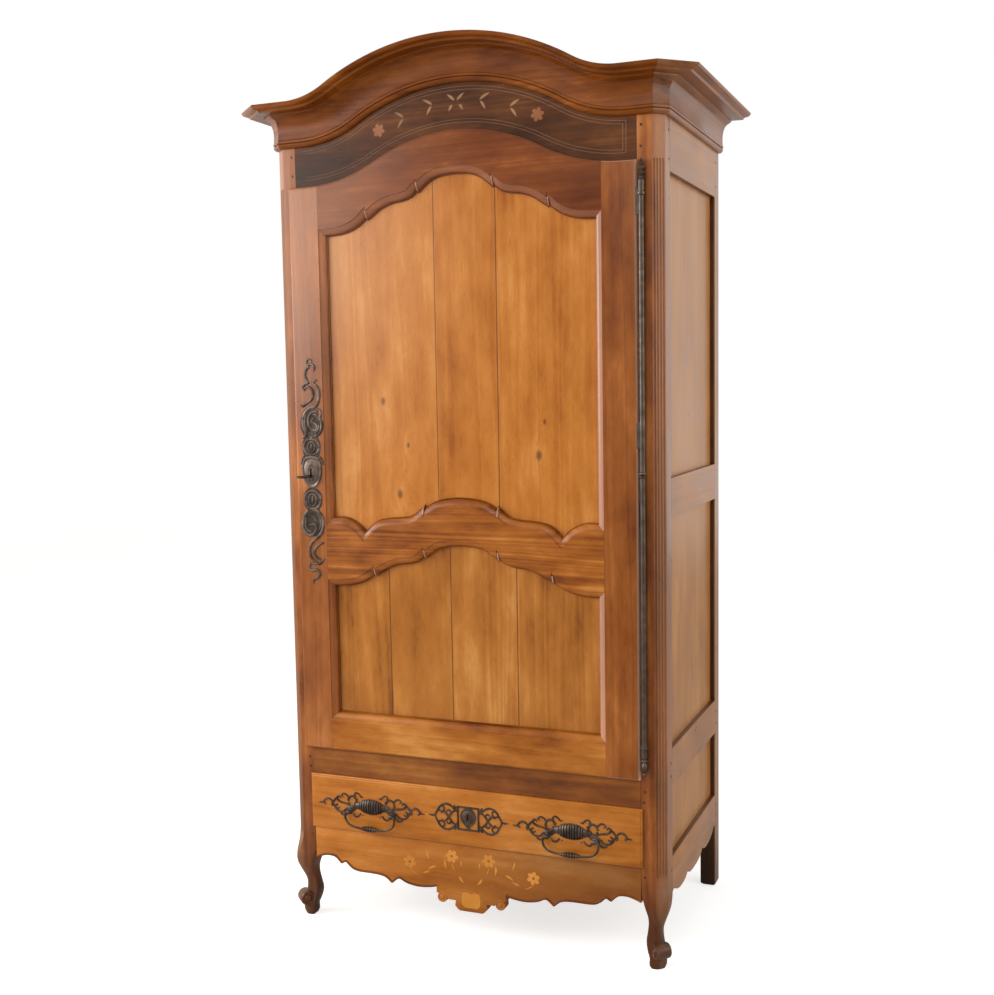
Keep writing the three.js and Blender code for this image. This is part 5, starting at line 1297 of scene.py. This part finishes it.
door_leaves = [leaf(hinge_x - leaf_reach, hinge_x, hinge_y - leaf_half, hinge_y + leaf_half, z)
               for z in (1219.4, 1736)]
frame_leaves = [leaf(hinge_x - leaf_half, hinge_x + leaf_half, hinge_y, hinge_y + leaf_reach, z)
                for z in (522, 1039.4)]
fit(together([upper_pole, *door_leaves]), "door_half_of_hinge", "door", "rubbed_iron", ["hinge_door_half"])
fit(together([lower_pole, *frame_leaves]), "frame_half_of_hinge", "carcass", "rubbed_iron",
    ["hinge_frame_half"])
print("hinge pole from", hinge_bottom, "to", hinge_top, "mm")

# %% [markdown]
# ## Key plate of the door
#
# The long plate round the keyhole is the finest iron on the piece: scrolls that were cut
# out, hammered half-round and welded to each other above and below a bulging shield. Each
# scroll is a stroke of a pen, so it is written down as one: a few places along it, from
# the middle of the keyhole, and its widths from start to end.

# %% Write scrolls as strokes
def scrollwork(strokes, face, height, middle_x, middle_z, way_x=1, way_z=1, stout=1.3):
    """Forged bars along strokes, each one (widths, mark, mark, ...), moved and mirrored."""
    bars = []
    for widths, *marks in strokes:
        line = [(middle_x + way_x * x, middle_z + way_z * z) for x, z in flow(marks, 5)]
        bars.append(forged(line, [width * stout for width in widths], face, height))
    return bars


def hoop(x, z, half_x, half_z, width, face, height):
    """A forged ring."""
    return forged(oval(x, z, half_x, half_z, 22), (width, width), face, height, closed=True)


def nail(x, z, face, radius=2.2):
    """The domed head of a hand-made nail."""
    return turned(spot(x, face + 1, z), (0, -1, 0), [
        (0, radius), (1.2, radius), (1.9, radius * 0.8), (2.4, radius * 0.4), (2.5, 0.1),
    ], sides=8)


# %% The scrolls of the door plate
door_plate_strokes = (
    ((3, 4.6, 2), (5, 276), (12, 274), (15, 266), (12, 259)),
    ((4, 5, 4), (1, 271), (-8, 263), (-12, 251), (-9, 240), (-3, 230)),
    ((5, 5, 3), (-3, 231), (-14, 228), (-18, 218), (-13, 212)),
    ((3.5, 5, 6, 5.5, 4), (20, 237), (14, 236), (11, 229), (20, 220), (26, 207), (24, 189), (17, 174),
     (5, 168)),
    ((4, 5, 5.5, 5, 3), (-17, 216), (-4, 221), (7, 213), (9, 201), (3, 189), (-9, 181), (-20, 173),
     (-25, 176)),
    ((5, 6, 5.5, 4), (17, 174), (0, 169), (-11, 161), (-18, 149), (-21, 135), (-20, 121), (-14, 110),
     (-15, 100), (-21, 93)),
    ((3, 5, 6, 5), (20, 166), (27, 163), (29, 153), (26, 143), (31, 131), (30, 117), (23, 105), (11, 99)),
    ((4, 5, 5.5, 5, 3), (19, 161), (3, 156), (-5, 144), (-5, 127), (3, 116), (15, 113), (19, 123),
     (12, 131), (4, 134), (10, 145)),
    ((4, 4, 3), (-21, 47), (-27, 38), (-30, 28)),
    ((4, 4, 3), (23, 47), (29, 38), (31, 28)),
    ((5, 6, 5.5, 5, 3), (-13, -86), (-24, -99), (-29, -117), (-28, -134), (-19, -147), (-6, -149),
     (6, -139), (8, -127), (-2, -121), (-14, -126)),
    ((5, 6, 6, 5.5, 5, 4), (6, -85), (18, -92), (27, -109), (27, -128), (20, -145), (6, -158), (-7, -169),
     (-13, -183), (-12, -199), (-4, -211), (8, -218)),
    ((3, 5, 5, 3), (27, -167), (13, -173), (3, -183), (0, -194), (6, -205), (16, -209), (23, -212)),
    ((3, 5, 5, 3), (27, -208), (16, -219), (4, -221), (-12, -221)),
    ((3, 4.5, 5.5, 4, 2.2), (-12, -220), (-16, -231), (-8, -239), (6, -236), (14, -246), (6, -257),
     (-4, -263), (-6, -273)),
    ((3, 4.5, 3), (-12, 152), (-16, 138), (-14, 122), (-7, 111)),
    ((3, 4.5, 3), (24, 126), (21, 114), (13, 106)),
    ((3, 4, 3), (8, 153), (15, 152), (22, 145)),
    ((3, 4.5, 3), (-20, -104), (-22, -122), (-16, -136), (-5, -141)),
    ((3, 4.5, 3), (13, -93), (20, -106), (21, -124), (14, -138)),
    ((3, 4, 3), (-6, -98), (3, -104), (7, -114)),
)
door_face = door_front - 0.1
plate_x = key_x + 1
iron_bars = scrollwork(door_plate_strokes, door_face, 3.4, plate_x, lock_z, stout=1.5)
grounds = []
for half_ground in (
    ((20, 46), (24, 60), (25, 72), (24, 84), (19, 96), (24, 108), (29, 122), (28, 136), (24, 150),
     (18, 162), (8, 170)),
    ((7, -30), (17, -36), (24, -46), (26, -60), (24, -74), (17, -85), (24, -98), (28, -114), (27, -132),
     (19, -145), (8, -152)),
):
    edge = [(plate_x + x, lock_z + z) for x, z in flow(half_ground, 3)]
    other_edge = [(2 * plate_x - x, z) for x, z in reversed(edge)]
    grounds.append(board(edge + other_edge, door_face - 0.9, door_face))
# the ground under the bars is the darkest iron: painted shade between the bars
fit(together(grounds), "key_plate_ground", "door", "browned_and_shaded_iron")
for x, z, half_x, half_z, width in (
    (1, 282, 6.8, 6.8, 5.4), (2, 72, 22, 19, 6.6), (2, 72, 10, 13, 5), (1, -60, 23, 23, 6.6),
    (1, -60, 11, 15, 5),
):
    iron_bars.append(hoop(key_x + x, lock_z + z, half_x, half_z, width, door_face, 2.9))
for x, low, high in ((2, 62, 82), (1, -71, -49)):
    rib = [(key_x + x, lock_z + z) for z in (low, (low + high) / 2, high)]
    iron_bars.append(forged(rib, (2, 5, 2), door_face, 3))
for middle in (72, -60):
    for step in range(10):
        turn = math.pi * (step + 0.5) / 5
        nail_x, nail_z = key_x + 2 + 21 * math.cos(turn), lock_z + middle + 22 * math.sin(turn)
        iron_bars.append(nail(nail_x, nail_z, door_face, 4.4))
print("bars of the door plate:", len(iron_bars))

# %% [markdown]
# The shield over the lock is a raised boss with a rim: its outline is drawn once and then
# stepped inwards and forwards, up the rim, down into a groove and up over the dome.

# %% The bulging shield
shield_half = ((0, 51), (9, 49), (17, 47), (23, 40), (27, 28), (28, 12), (25, -4), (19, -18), (11, -27),
               (0, -31))
boss_steps = ((1, 0), (1, 1.6), (0.97, 2.5), (0.9, 2.8), (0.84, 2.4), (0.8, 1.4), (0.76, 1.4), (0.7, 2.4),
              (0.6, 3.4), (0.48, 4.1), (0.34, 4.6), (0.16, 4.8))


def boss(half, x, z, middle, face, height):
    """A bulging boss from half of its outline, which shrinks towards a middle over z."""
    line = flow(half, 3)
    line += [(-u, v) for u, v in reversed(line[1:-1])]
    return skin([
        [spot(x + u * share, face - rise * height, z + middle + (v - middle) * share) for u, v in line]
        for share, rise in boss_steps
    ])


shield = boss(shield_half, plate_x, lock_z, 9, door_face, 1)
keyhole(shield, key_x, lock_z)
iron_bars.append(hoop(key_x, lock_z + 8, 8.5, 18, 3.6, door_face - 4.1, 1.6))
nails = [nail(key_x + x, lock_z + z, door_face - 2) for x, z in (
    (-4, 231), (17, 174), (-20, 94), (-21, 44), (24, 44), (0, -28), (4, -86), (8, -218), (-11, -220))]
fit(together([shield, *iron_bars, *nails]), "door_key_plate", "door", "worn_iron", ["door_escutcheon"])
print("door plate:", len(shield.data.polygons), "faces")

# %% [markdown]
# ## Key plate of the drawer
#
# A square frame holds a bulging boss shaped like an acorn, and each wing is two loops whose
# inner ends cross and curl. One quarter is drawn, and mirrored to all four corners.

# %% The drawer plate
drawer_front_face = -8.1
quarter = (
    ((3.4, 4.2, 4.2, 2.4), (26, 18), (38, 16), (49, 4), (57, -7), (65, -12), (71, -8)),
    ((3.4, 4.4, 4.4, 3.4), (30, 15), (38, 23), (48, 30), (60, 32), (73, 26), (81, 14), (88, 2)),
    ((2.4, 3.6, 2.4), (26, 26), (33, 25), (37, 31)),
    ((3, 3.8, 3, 2.2), (80, 15), (71, 12), (64, 16), (64, 24), (70, 25)),
    ((3, 3.6, 2.4), (49, 5), (46, 13), (52, 17), (57, 13)),
)
plate_bars = []
for way_x in (-1, 1):
    for way_z in (-1, 1):
        plate_bars += scrollwork(quarter, drawer_front_face, 2.4, 0, mounts_z, way_x, way_z)
    upright = [(way_x * 27, mounts_z + z) for z in (-30, 0, 30)]
    wing_tip = [(way_x * x, mounts_z) for x in (86, 96, 105)]
    plate_bars.append(forged(upright, (5, 5), drawer_front_face, 2.8))
    plate_bars.append(forged(wing_tip, (6, 4, 2), drawer_front_face, 2.4))
    plate_bars.append(nail(way_x * 96, mounts_z, drawer_front_face, 3.4))
for z in (mounts_z - 28, mounts_z + 28):
    plate_bars.append(forged([(-29, z), (0, z), (29, z)], (5, 5), drawer_front_face, 2.8))
acorn_half = ((0, 27), (7, 26), (15, 21), (19.5, 12), (20.5, 3), (18, -6), (12, -14), (6, -20), (3.4, -24),
              (0, -28))
acorn = boss(acorn_half, 0, mounts_z, 0, drawer_front_face, 0.85)
keyhole(acorn, 0, mounts_z - 2, radius=3.4, slot=4, rise=14)
for way_x in (-1, 1):
    for x, z in ((27, 28), (27, -28), (49, 0)):
        plate_bars.append(nail(way_x * x, mounts_z + z, drawer_front_face - 1.5, 1.8))
fit(together([acorn, *plate_bars]), "drawer_key_plate", "drawer", "dull_iron", ["drawer_escutcheon"])
print("bars of the drawer plate:", len(plate_bars))

# %% [markdown]
# ## Pulls
#
# Each pull is a swinging bail in front of a plate. The plate has a ribbed boss like a
# closed bud, a loop over each ear, and wings that curl to a point. The ribs were chased
# into the iron, so the boss is a row of domes whose size goes up and down a little from
# rib to rib.

# %% A pull plate
pull_x, ear_x, pivot_y, pivot_z = 264, 58.7, -19.3, 298
wing = (
    ((3, 4.4, 4.4, 2.4), (60, -3), (72, 2), (84, 4), (94, 9), (96, 16), (90, 19), (86, 14)),
    ((4, 4.4, 4, 3), (60, -10), (71, -12), (80, -20), (92, -20), (101, -13), (107, -3), (110, 3)),
    ((3, 4, 4, 2.4), (92, 9), (100, 12), (107, 4), (112, -2), (110, -9)),
    ((3, 4, 4.4, 3.6), (109, -4), (112, 5), (120, 10), (129, 8), (135, 0), (130, -5)),
    ((3.6, 3, 1.4), (133, 0), (141, -1.5), (148, -2.5)),
    ((3, 3.6, 2.4), (38, 14), (45, 21), (44, 27)),
    ((3, 3.8, 3, 2.2), (62, 16), (69, 25), (78, 27), (84, 22), (79, 18)),
    ((3, 3.8, 3, 2.2), (66, -14), (70, -25), (78, -29), (86, -26), (84, -21)),
    ((3, 3.6, 2.4), (27, 22), (34, 30), (43, 32), (48, 26)),
    ((3, 3.6, 2.4), (30, -20), (37, -28), (46, -29), (50, -23)),
    ((3, 3.4, 2.4), (95, -2), (101, -6), (97, -13), (90, -10)),
)
bud = ((50, 5.5, 3.4), (46, 8, 5), (43, 6, 3.6), (40, 7.6, 5), (34, 10, 5.8), (30.5, 10.6, 6),
       (29.4, 9.4, 4.6), (28, 14, 6.6), (25, 15, 7.6), (23.6, 13.4, 5.4), (22.2, 16.4, 7.6), (18, 18, 8.8),
       (16.6, 15.6, 6.2), (15.2, 18.4, 8.6), (11, 19.4, 9.6), (9.6, 17, 6.8), (8.2, 19.4, 9.2),
       (4, 20.4, 10), (2.6, 18, 7.2), (1.2, 20, 9.4), (0, 20.6, 10))
bud = [*bud, *((-x, half, rise) for x, half, rise in reversed(bud[:-1]))]
bud_boss = skin([
    [spot(pull_x + x, drawer_front_face - rise * v, mounts_z + half * u * (1 - 0.12 * v)) for u, v in dome]
    for x, half, rise in bud
])
pull_bars = [bud_boss]
ear_profile = [(-1.4, 7.6), (0.6, 7.4), (1.6, 5.4), (3.4, 4.2), (5, 4.8), (7, 6), (9, 6.4), (11, 6),
               (12.8, 4.6), (14, 2.4), (14.3, 0.2)]
for way in (-1, 1):
    pull_bars += scrollwork(wing, drawer_front_face, 2.4, pull_x, mounts_z, way)
    pull_bars.append(hoop(pull_x + way * 53, mounts_z + 10, 11.5, 13, 5.4, drawer_front_face, 2.8))
    shoulder = [(pull_x + way * x, mounts_z + z) for x, z in ((40, -1), (52, -7), (66, -12))]
    pull_bars.append(forged(shoulder, (12, 18, 10), drawer_front_face, 3.6))
    pull_bars.append(turned(spot(pull_x + way * ear_x, -10, pivot_z), (0, -1, 0), ear_profile, sides=16))
    pull_bars += [nail(pull_x + way * x, mounts_z + z, drawer_front_face - r, 2) for x, z, r in (
        (91, -20, 1.2), (97, 15, 1.2), (131, -4, 1.2), (24, 24, 0), (24, -24, 0))]
pull = together(pull_bars)
fit_pair(pull, "{}_pull_plate", "drawer", "dull_iron", "pull_plate_{}")
print("a pull plate:", len(pull.data.polygons), "faces")

# %% [markdown]
# The bail is a bent rod whose ends turn inwards through the ears. Its grip is a turned
# sleeve with rings, and hangs in the middle.

# %% The bails
bail_drop = 38
wire_marks = ((54.5, 0), (63, 0), (67, -2.5), (68.5, -9), (68, -16), (64, -25), (55, -32.5), (42, -36.6),
              (24, -bail_drop))
wire = [(pull_x + x, pivot_y, pivot_z + z) for x, z in flow(wire_marks, 4)]
wire += [(2 * pull_x - x, y, z) for x, y, z in reversed(wire)]
bail_wire = rod(wire, lambda share: 2.5 + 0.5 * abs(2 * share - 1))
grip_half = [(0.8, 5.4), (1.6, 6.8), (3.6, 7.5), (5.6, 6.8), (6.4, 5), (7.2, 4.8), (8, 6.2), (10, 7.1),
             (12, 6.2), (12.8, 4.6), (13.6, 4.2), (14.4, 5.4), (16, 6), (17.6, 5.2), (18.4, 3.8),
             (19.4, 3.4), (20.4, 4.2), (21.6, 4.4), (22.8, 3.8), (24.4, 2.8)]
grip_place = spot(pull_x, pivot_y, pivot_z - bail_drop)
grip = turned(grip_place, (1, 0, 0), [(-s, r) for s, r in reversed(grip_half)] + grip_half, sides=18)
bail = together([bail_wire, grip])
fit_pair(bail, "{}_bail", "bail_{}_body", "dull_iron", "bail_{}")
print("a bail:", len(bail.data.polygons), "faces")

# %% [markdown]
# ## Key
#
# The key has an oval bow with two small curls inside it, a collar of rings, a round shank
# and a bit. It lies level in the lock, as it does in the photograph.

# %% The key
bow_y, bow_half_x, bow_half_y = -57, 15.4, 10.4
bow_ring = [(x, y, lock_z) for x, y in oval(key_x, bow_y, bow_half_x, bow_half_y, 28)]
key_parts = [rod(bow_ring, 2.5, flat=(0, 0, 1), closed=True)]
curl_marks = ((1.5, 10), (6, 5), (8.4, -1), (5.6, -4), (3.4, -1))
for way in (-1, 1):
    curl = [(key_x + way * x, bow_y + y, lock_z) for x, y in flow(curl_marks, 4)]
    key_parts.append(rod(curl, 1.3, flat=(0, 0, 1), sides=8))
shank_y, shank_length = bow_y + 9, 81
shank = turned(spot(key_x, shank_y, lock_z), (0, 1, 0), [
    (0, 3), (2, 3.4), (3, 4.8), (4.4, 5.1), (5.6, 4.6), (6.4, 3.4), (7.4, 3.4), (8.4, 4.4), (9.6, 4.4),
    (10.6, 3.2), (80, 3), (shank_length, 2.4), (81.2, 1.4)], sides=16)
bit_line = [(key_x + x, lock_z + z) for x, z in ((0, -1.5), (12, -1.5), (12, 1.5), (0, 1.5))]
bit_end = shank_y + shank_length
bit = soften(board(bit_line, bit_end - 6, bit_end), 0.4, steps=1)
key_parts += [shank, bit]
# the key takes the darkest iron as painted shade, since it lies in shade
fit(together(key_parts), "door_key", "key_body", "browned_and_shaded_iron", ["key"])
print("key parts:", len(key_parts))

# %% [markdown]
# ## Inlay and pegs
#
# The frieze carries a double line of light stringing, two flowers and pairs of leaves,
# and the apron has four flowers with stems. Inlay is thin wood let into a shallow bed, so
# each part of it is a thin sheet whose face stands a quarter of a millimetre proud, as old
# inlay does once the ground has shrunk.

# %% Petals, leaves and stringing
def inlaid(outline):
    """A thin sheet of wood let into the frame's face."""
    return board(outline, -0.25, 0.5)


def lens(x0, z0, x1, z1, width, bend):
    """A leaf between two points: pointed ends, full middle, bent to one side."""
    length = math.hypot(x1 - x0, z1 - z0)
    ux, uz = (x1 - x0) / length, (z1 - z0) / length
    edges = []
    for way, shares in ((1, (0, 0.15, 0.35, 0.6, 0.8, 0.93)), (-1, (1, 0.9, 0.75, 0.5, 0.25, 0.08))):
        for share in shares:
            out = way * width / 2 * math.sin(math.pi * share ** 0.8) + bend * math.sin(math.pi * share)
            edges.append((x0 + ux * length * share - uz * out, z0 + uz * length * share + ux * out))
    return edges


petals = 6


def blossom(x, z, radius, turn):
    """A flower's outline: rounded petals with notches between them."""
    points = []
    for i in range(petals * 6):
        angle = 2 * math.pi * i / (petals * 6) + turn
        wave = abs(math.cos(petals * (angle - turn) / 2))
        reach = radius * (0.6 + 0.4 * wave ** 0.7)
        points.append((x + reach * math.cos(angle), z + reach * math.sin(angle)))
    return points


frame_half, frame_lift = 415, 8
frame_foot = door_shoulder + frame_lift
frieze_frame = [
    [(-frame_half, frame_foot), *arch_line(door_arch, frame_lift), (frame_half, frame_foot)],
    [(frame_half, frame_foot), (frame_half, cornice_base)],
    [(frame_half, cornice_base), *reversed(arch_line(cornice_arch, 0)), (-frame_half, cornice_base)],
    [(-frame_half, cornice_base), (-frame_half, frame_foot)],
]
strings = [forged(mitred(frieze_frame, -inset), (2, 2), 0, 0.25, closed=True) for inset in (9, 16)]
fit(together(strings), "frieze_stringing", "carcass", "dark_inlay")
print("stringing:", len(strings), "lines")

# %% Flowers and leaves of the frieze
def sprays(rows, bend):
    """Leaves on both sides of the middle, from rows of (x0, z0, x1, z1, width)."""
    return [inlaid(lens(way * x0, z0, way * x1, z1, width, way * bend))
            for way in (-1, 1) for x0, z0, x1, z1, width in rows]


leaves = sprays((
    (59, 2021, 85, 2035, 6.6), (61, 2019, 74, 1998, 6.6), (134, 1999, 158, 2013, 6.6),
    (135, 1996, 150, 1974, 6.6), (3, 2025, 22, 2041, 6.6), (8, 2016, 18, 2002, 6.6),
), 1.2)
fit(together(leaves), "frieze_leaves", "carcass", "pale_inlay")
flowers = together([inlaid(blossom(way * 200, 1975, 16, way * 0.2)) for way in (-1, 1)])
fit(flowers, "frieze_flowers", "carcass", "light_inlay")
print("leaves:", len(leaves))

# %% Inlay of the apron
apron_flowers, hearts = [], []
for way in (-1, 1):
    for x, z, turn in ((49, 211, 0.1), (164, 183, 0.35)):
        apron_flowers.append(inlaid(blossom(way * x, z, 17, way * turn)))
for way in (-1, 1):
    for x, z in ((49, 211), (164, 183)):
        button = [(0, 3.6), (0.72, 3.5), (0.74, 0.1)]
        hearts.append(turned(spot(way * x, 0.4, z), (0, -1, 0), button, sides=12))
shell = inlaid([(-22, 122), (-25, 108), (-24, 92), (-16, 85), (16, 85), (24, 92), (25, 108), (22, 122),
                (10, 125), (0, 121), (-10, 125)])
fit(together([*apron_flowers, shell]), "apron_flowers", "carcass", "golden_inlay")
sprigs = sprays((
    (117, 219, 109, 194, 4), (67, 201, 65, 177, 6), (23, 203, 23, 188, 4), (92, 181, 113, 170, 5.6),
    (31, 163, 17, 147, 6), (49, 194, 40, 172, 2.2), (164, 166, 140, 152, 2.2), (128, 160, 108, 168, 4),
), 1.4)
fit(together(sprigs), "apron_sprigs", "carcass", "golden_inlay")
fit(together(hearts), "apron_flower_hearts", "carcass", "light_inlay")
print("apron inlay:", len(apron_flowers) + len(sprigs))

# %% [markdown]
# The mortise joints are held by pegs of dark wood, split and shaved by hand, whose ends
# stand a hair proud of the posts.

# %% Pegs of the joints
def peg(start, direction):
    """The end of a shaved peg."""
    return turned(start, direction, [(-3, 3.3), (0.35, 3.2), (0.5, 2.6), (0.5, 0.2)], sides=9)


front_pegs = [peg(spot(way * x, 0, z), (0, -1, 0)) for way in (-1, 1) for x, z in (
    (439, 1885), (440, 1931), (438, 401), (440, 426), (439, 222), (438, 176))]
side_pegs = [
    peg(spot(way * body_half, y, z), (way, 0, 0))
    for way in (-1, 1) for y in (58, 560) for z in (1862, 1925, 482, 451, 224, 196)
]
fit(together(front_pegs + side_pegs), "joint_pegs", "carcass", "peg_wood")
print("pegs:", len(front_pegs) + len(side_pegs))

# %% [markdown]
# ## The other solids
#
# Rails, panels, boards, shelves and the drawer's box already have their true shape in the
# measured model, so they stay, and only get their wood.

# %% Wood for the measured solids
both_sides = ("left", "right")
carried = {
    "rear_posts_in_shade": ["rear_post_left", "rear_post_right"],
    "level_frame": ["front_mid_rail"],
    "side_level": [f"side_{level}_rail_{side}" for level in ("top", "mid", "low") for side in both_sides],
    "side_board": [f"side_panel_{level}_{side}" for level in ("upper", "middle", "lower")
                   for side in both_sides],
    "upper_panel": ["door_panel_upper"],
    "lower_panel": ["door_panel_lower"],
    "inside_upright": ["back_boards"],
    "inside_level": ["back_bottom_rail", "back_top_rail", "cupboard_floor", "cupboard_ceiling",
                     "shelf_lower", "shelf_upper", "drawer_back", "drawer_bottom"],
    "inside_deep": [f"{kind}_{side}" for kind in (
        "shelf_cleat_lower", "shelf_cleat_upper", "drawer_runner", "drawer_side") for side in both_sides],
    "browned_and_shaded_iron": ["lock_case"],
    "bright_steel": ["lock_bolt"],
}
for finish, names in carried.items():
    for name in names:
        for material_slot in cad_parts[name].material_slots:
            material_slot.material = finishes[finish][0]
print("solids with new wood or iron:", sum(len(names) for names in carried.values()))

# %% [markdown]
# ## Floor and light
#
# A furniture photographer uses a white sweep, one big soft lamp to the left and a white
# wall to the right. A second window stands nearly in line with the cabinet's front: it only
# grazes that face, and draws the light line along each moulding that looks to the left. The
# lamps here are set so that a colour comes out about as written. The camera and the
# reflections see a plain white room, while the light that the room gives to the wood is
# kept lower.

# %% Floor
bpy.ops.mesh.primitive_plane_add(size=14, location=(0, 0, 0))
floor = bpy.context.object
floor.name = "studio_floor"
floor_material, tree = blank_material("pale_floor")
path = add(tree, "LightPath").outputs
seen = maths(tree, "MULTIPLY", path["Is Camera Ray"], 0.68)
matt = add(tree, "BsdfPrincipled", {"Base Color": paint("#d8d6d2"), "Roughness": 0.9}).outputs[0]
glow = add(tree, "Emission", {"Color": (1, 1, 1, 1)}, {"Strength": seen}).outputs[0]
both = add(tree, "AddShader", links={0: matt, 1: glow}).outputs[0]
add(tree, "OutputMaterial", links={"Surface": both})
floor.data.materials.append(floor_material)
print("floor:", floor.name)

# %% Room and lamps
room = bpy.data.worlds.new("white_room")
bpy.context.scene.world = room
room.use_nodes = True
tree = room.node_tree
tree.nodes.clear()
path = add(tree, "LightPath").outputs
seen = maths(tree, "MAXIMUM", path["Is Camera Ray"], path["Is Glossy Ray"])
seen = maths(tree, "MAXIMUM", seen, path["Is Transmission Ray"])
power = ramp_value(tree, seen, 0.0, 1.0, 0.4, 1.0)
sky = add(tree, "Background", {"Color": (1, 1, 1, 1)}, {"Strength": power}).outputs[0]
add(tree, "OutputWorld", links={"Surface": sky})


def lamp(name, place, aim, size, watts):
    """A square soft lamp, its sides and places in metres, that points at a place."""
    bpy.ops.object.light_add(type="AREA", location=place)
    light = bpy.context.object
    light.name = name
    light.data.size = size
    light.data.energy = watts
    light.rotation_euler = (Vector(aim) - Vector(place)).to_track_quat("-Z", "Y").to_euler()


lamp("window_left", (-2.75, -3.0, 2.3), (-0.2, 0, 1.2), 1.7, 56)
lamp("window_beside", (-3.4, -1.45, 1.8), (0, -0.2, 1.1), 1.6, 81)
lamp("soft_front", (0.4, -3.4, 3.4), (0, 0, 1.0), 1.6, 28)
lamp("side_fill", (3.2, -0.4, 1.8), (0.4, 0, 1.0), 2.0, 32)
bpy.context.scene.view_settings.view_transform = "Standard"
print("lamps:", [light.name for light in bpy.data.lights])

# %% [markdown]
# The last cell prints how many pieces were fitted.

# %% Count the fitted pieces
print("fitted pieces:", len(fitted))
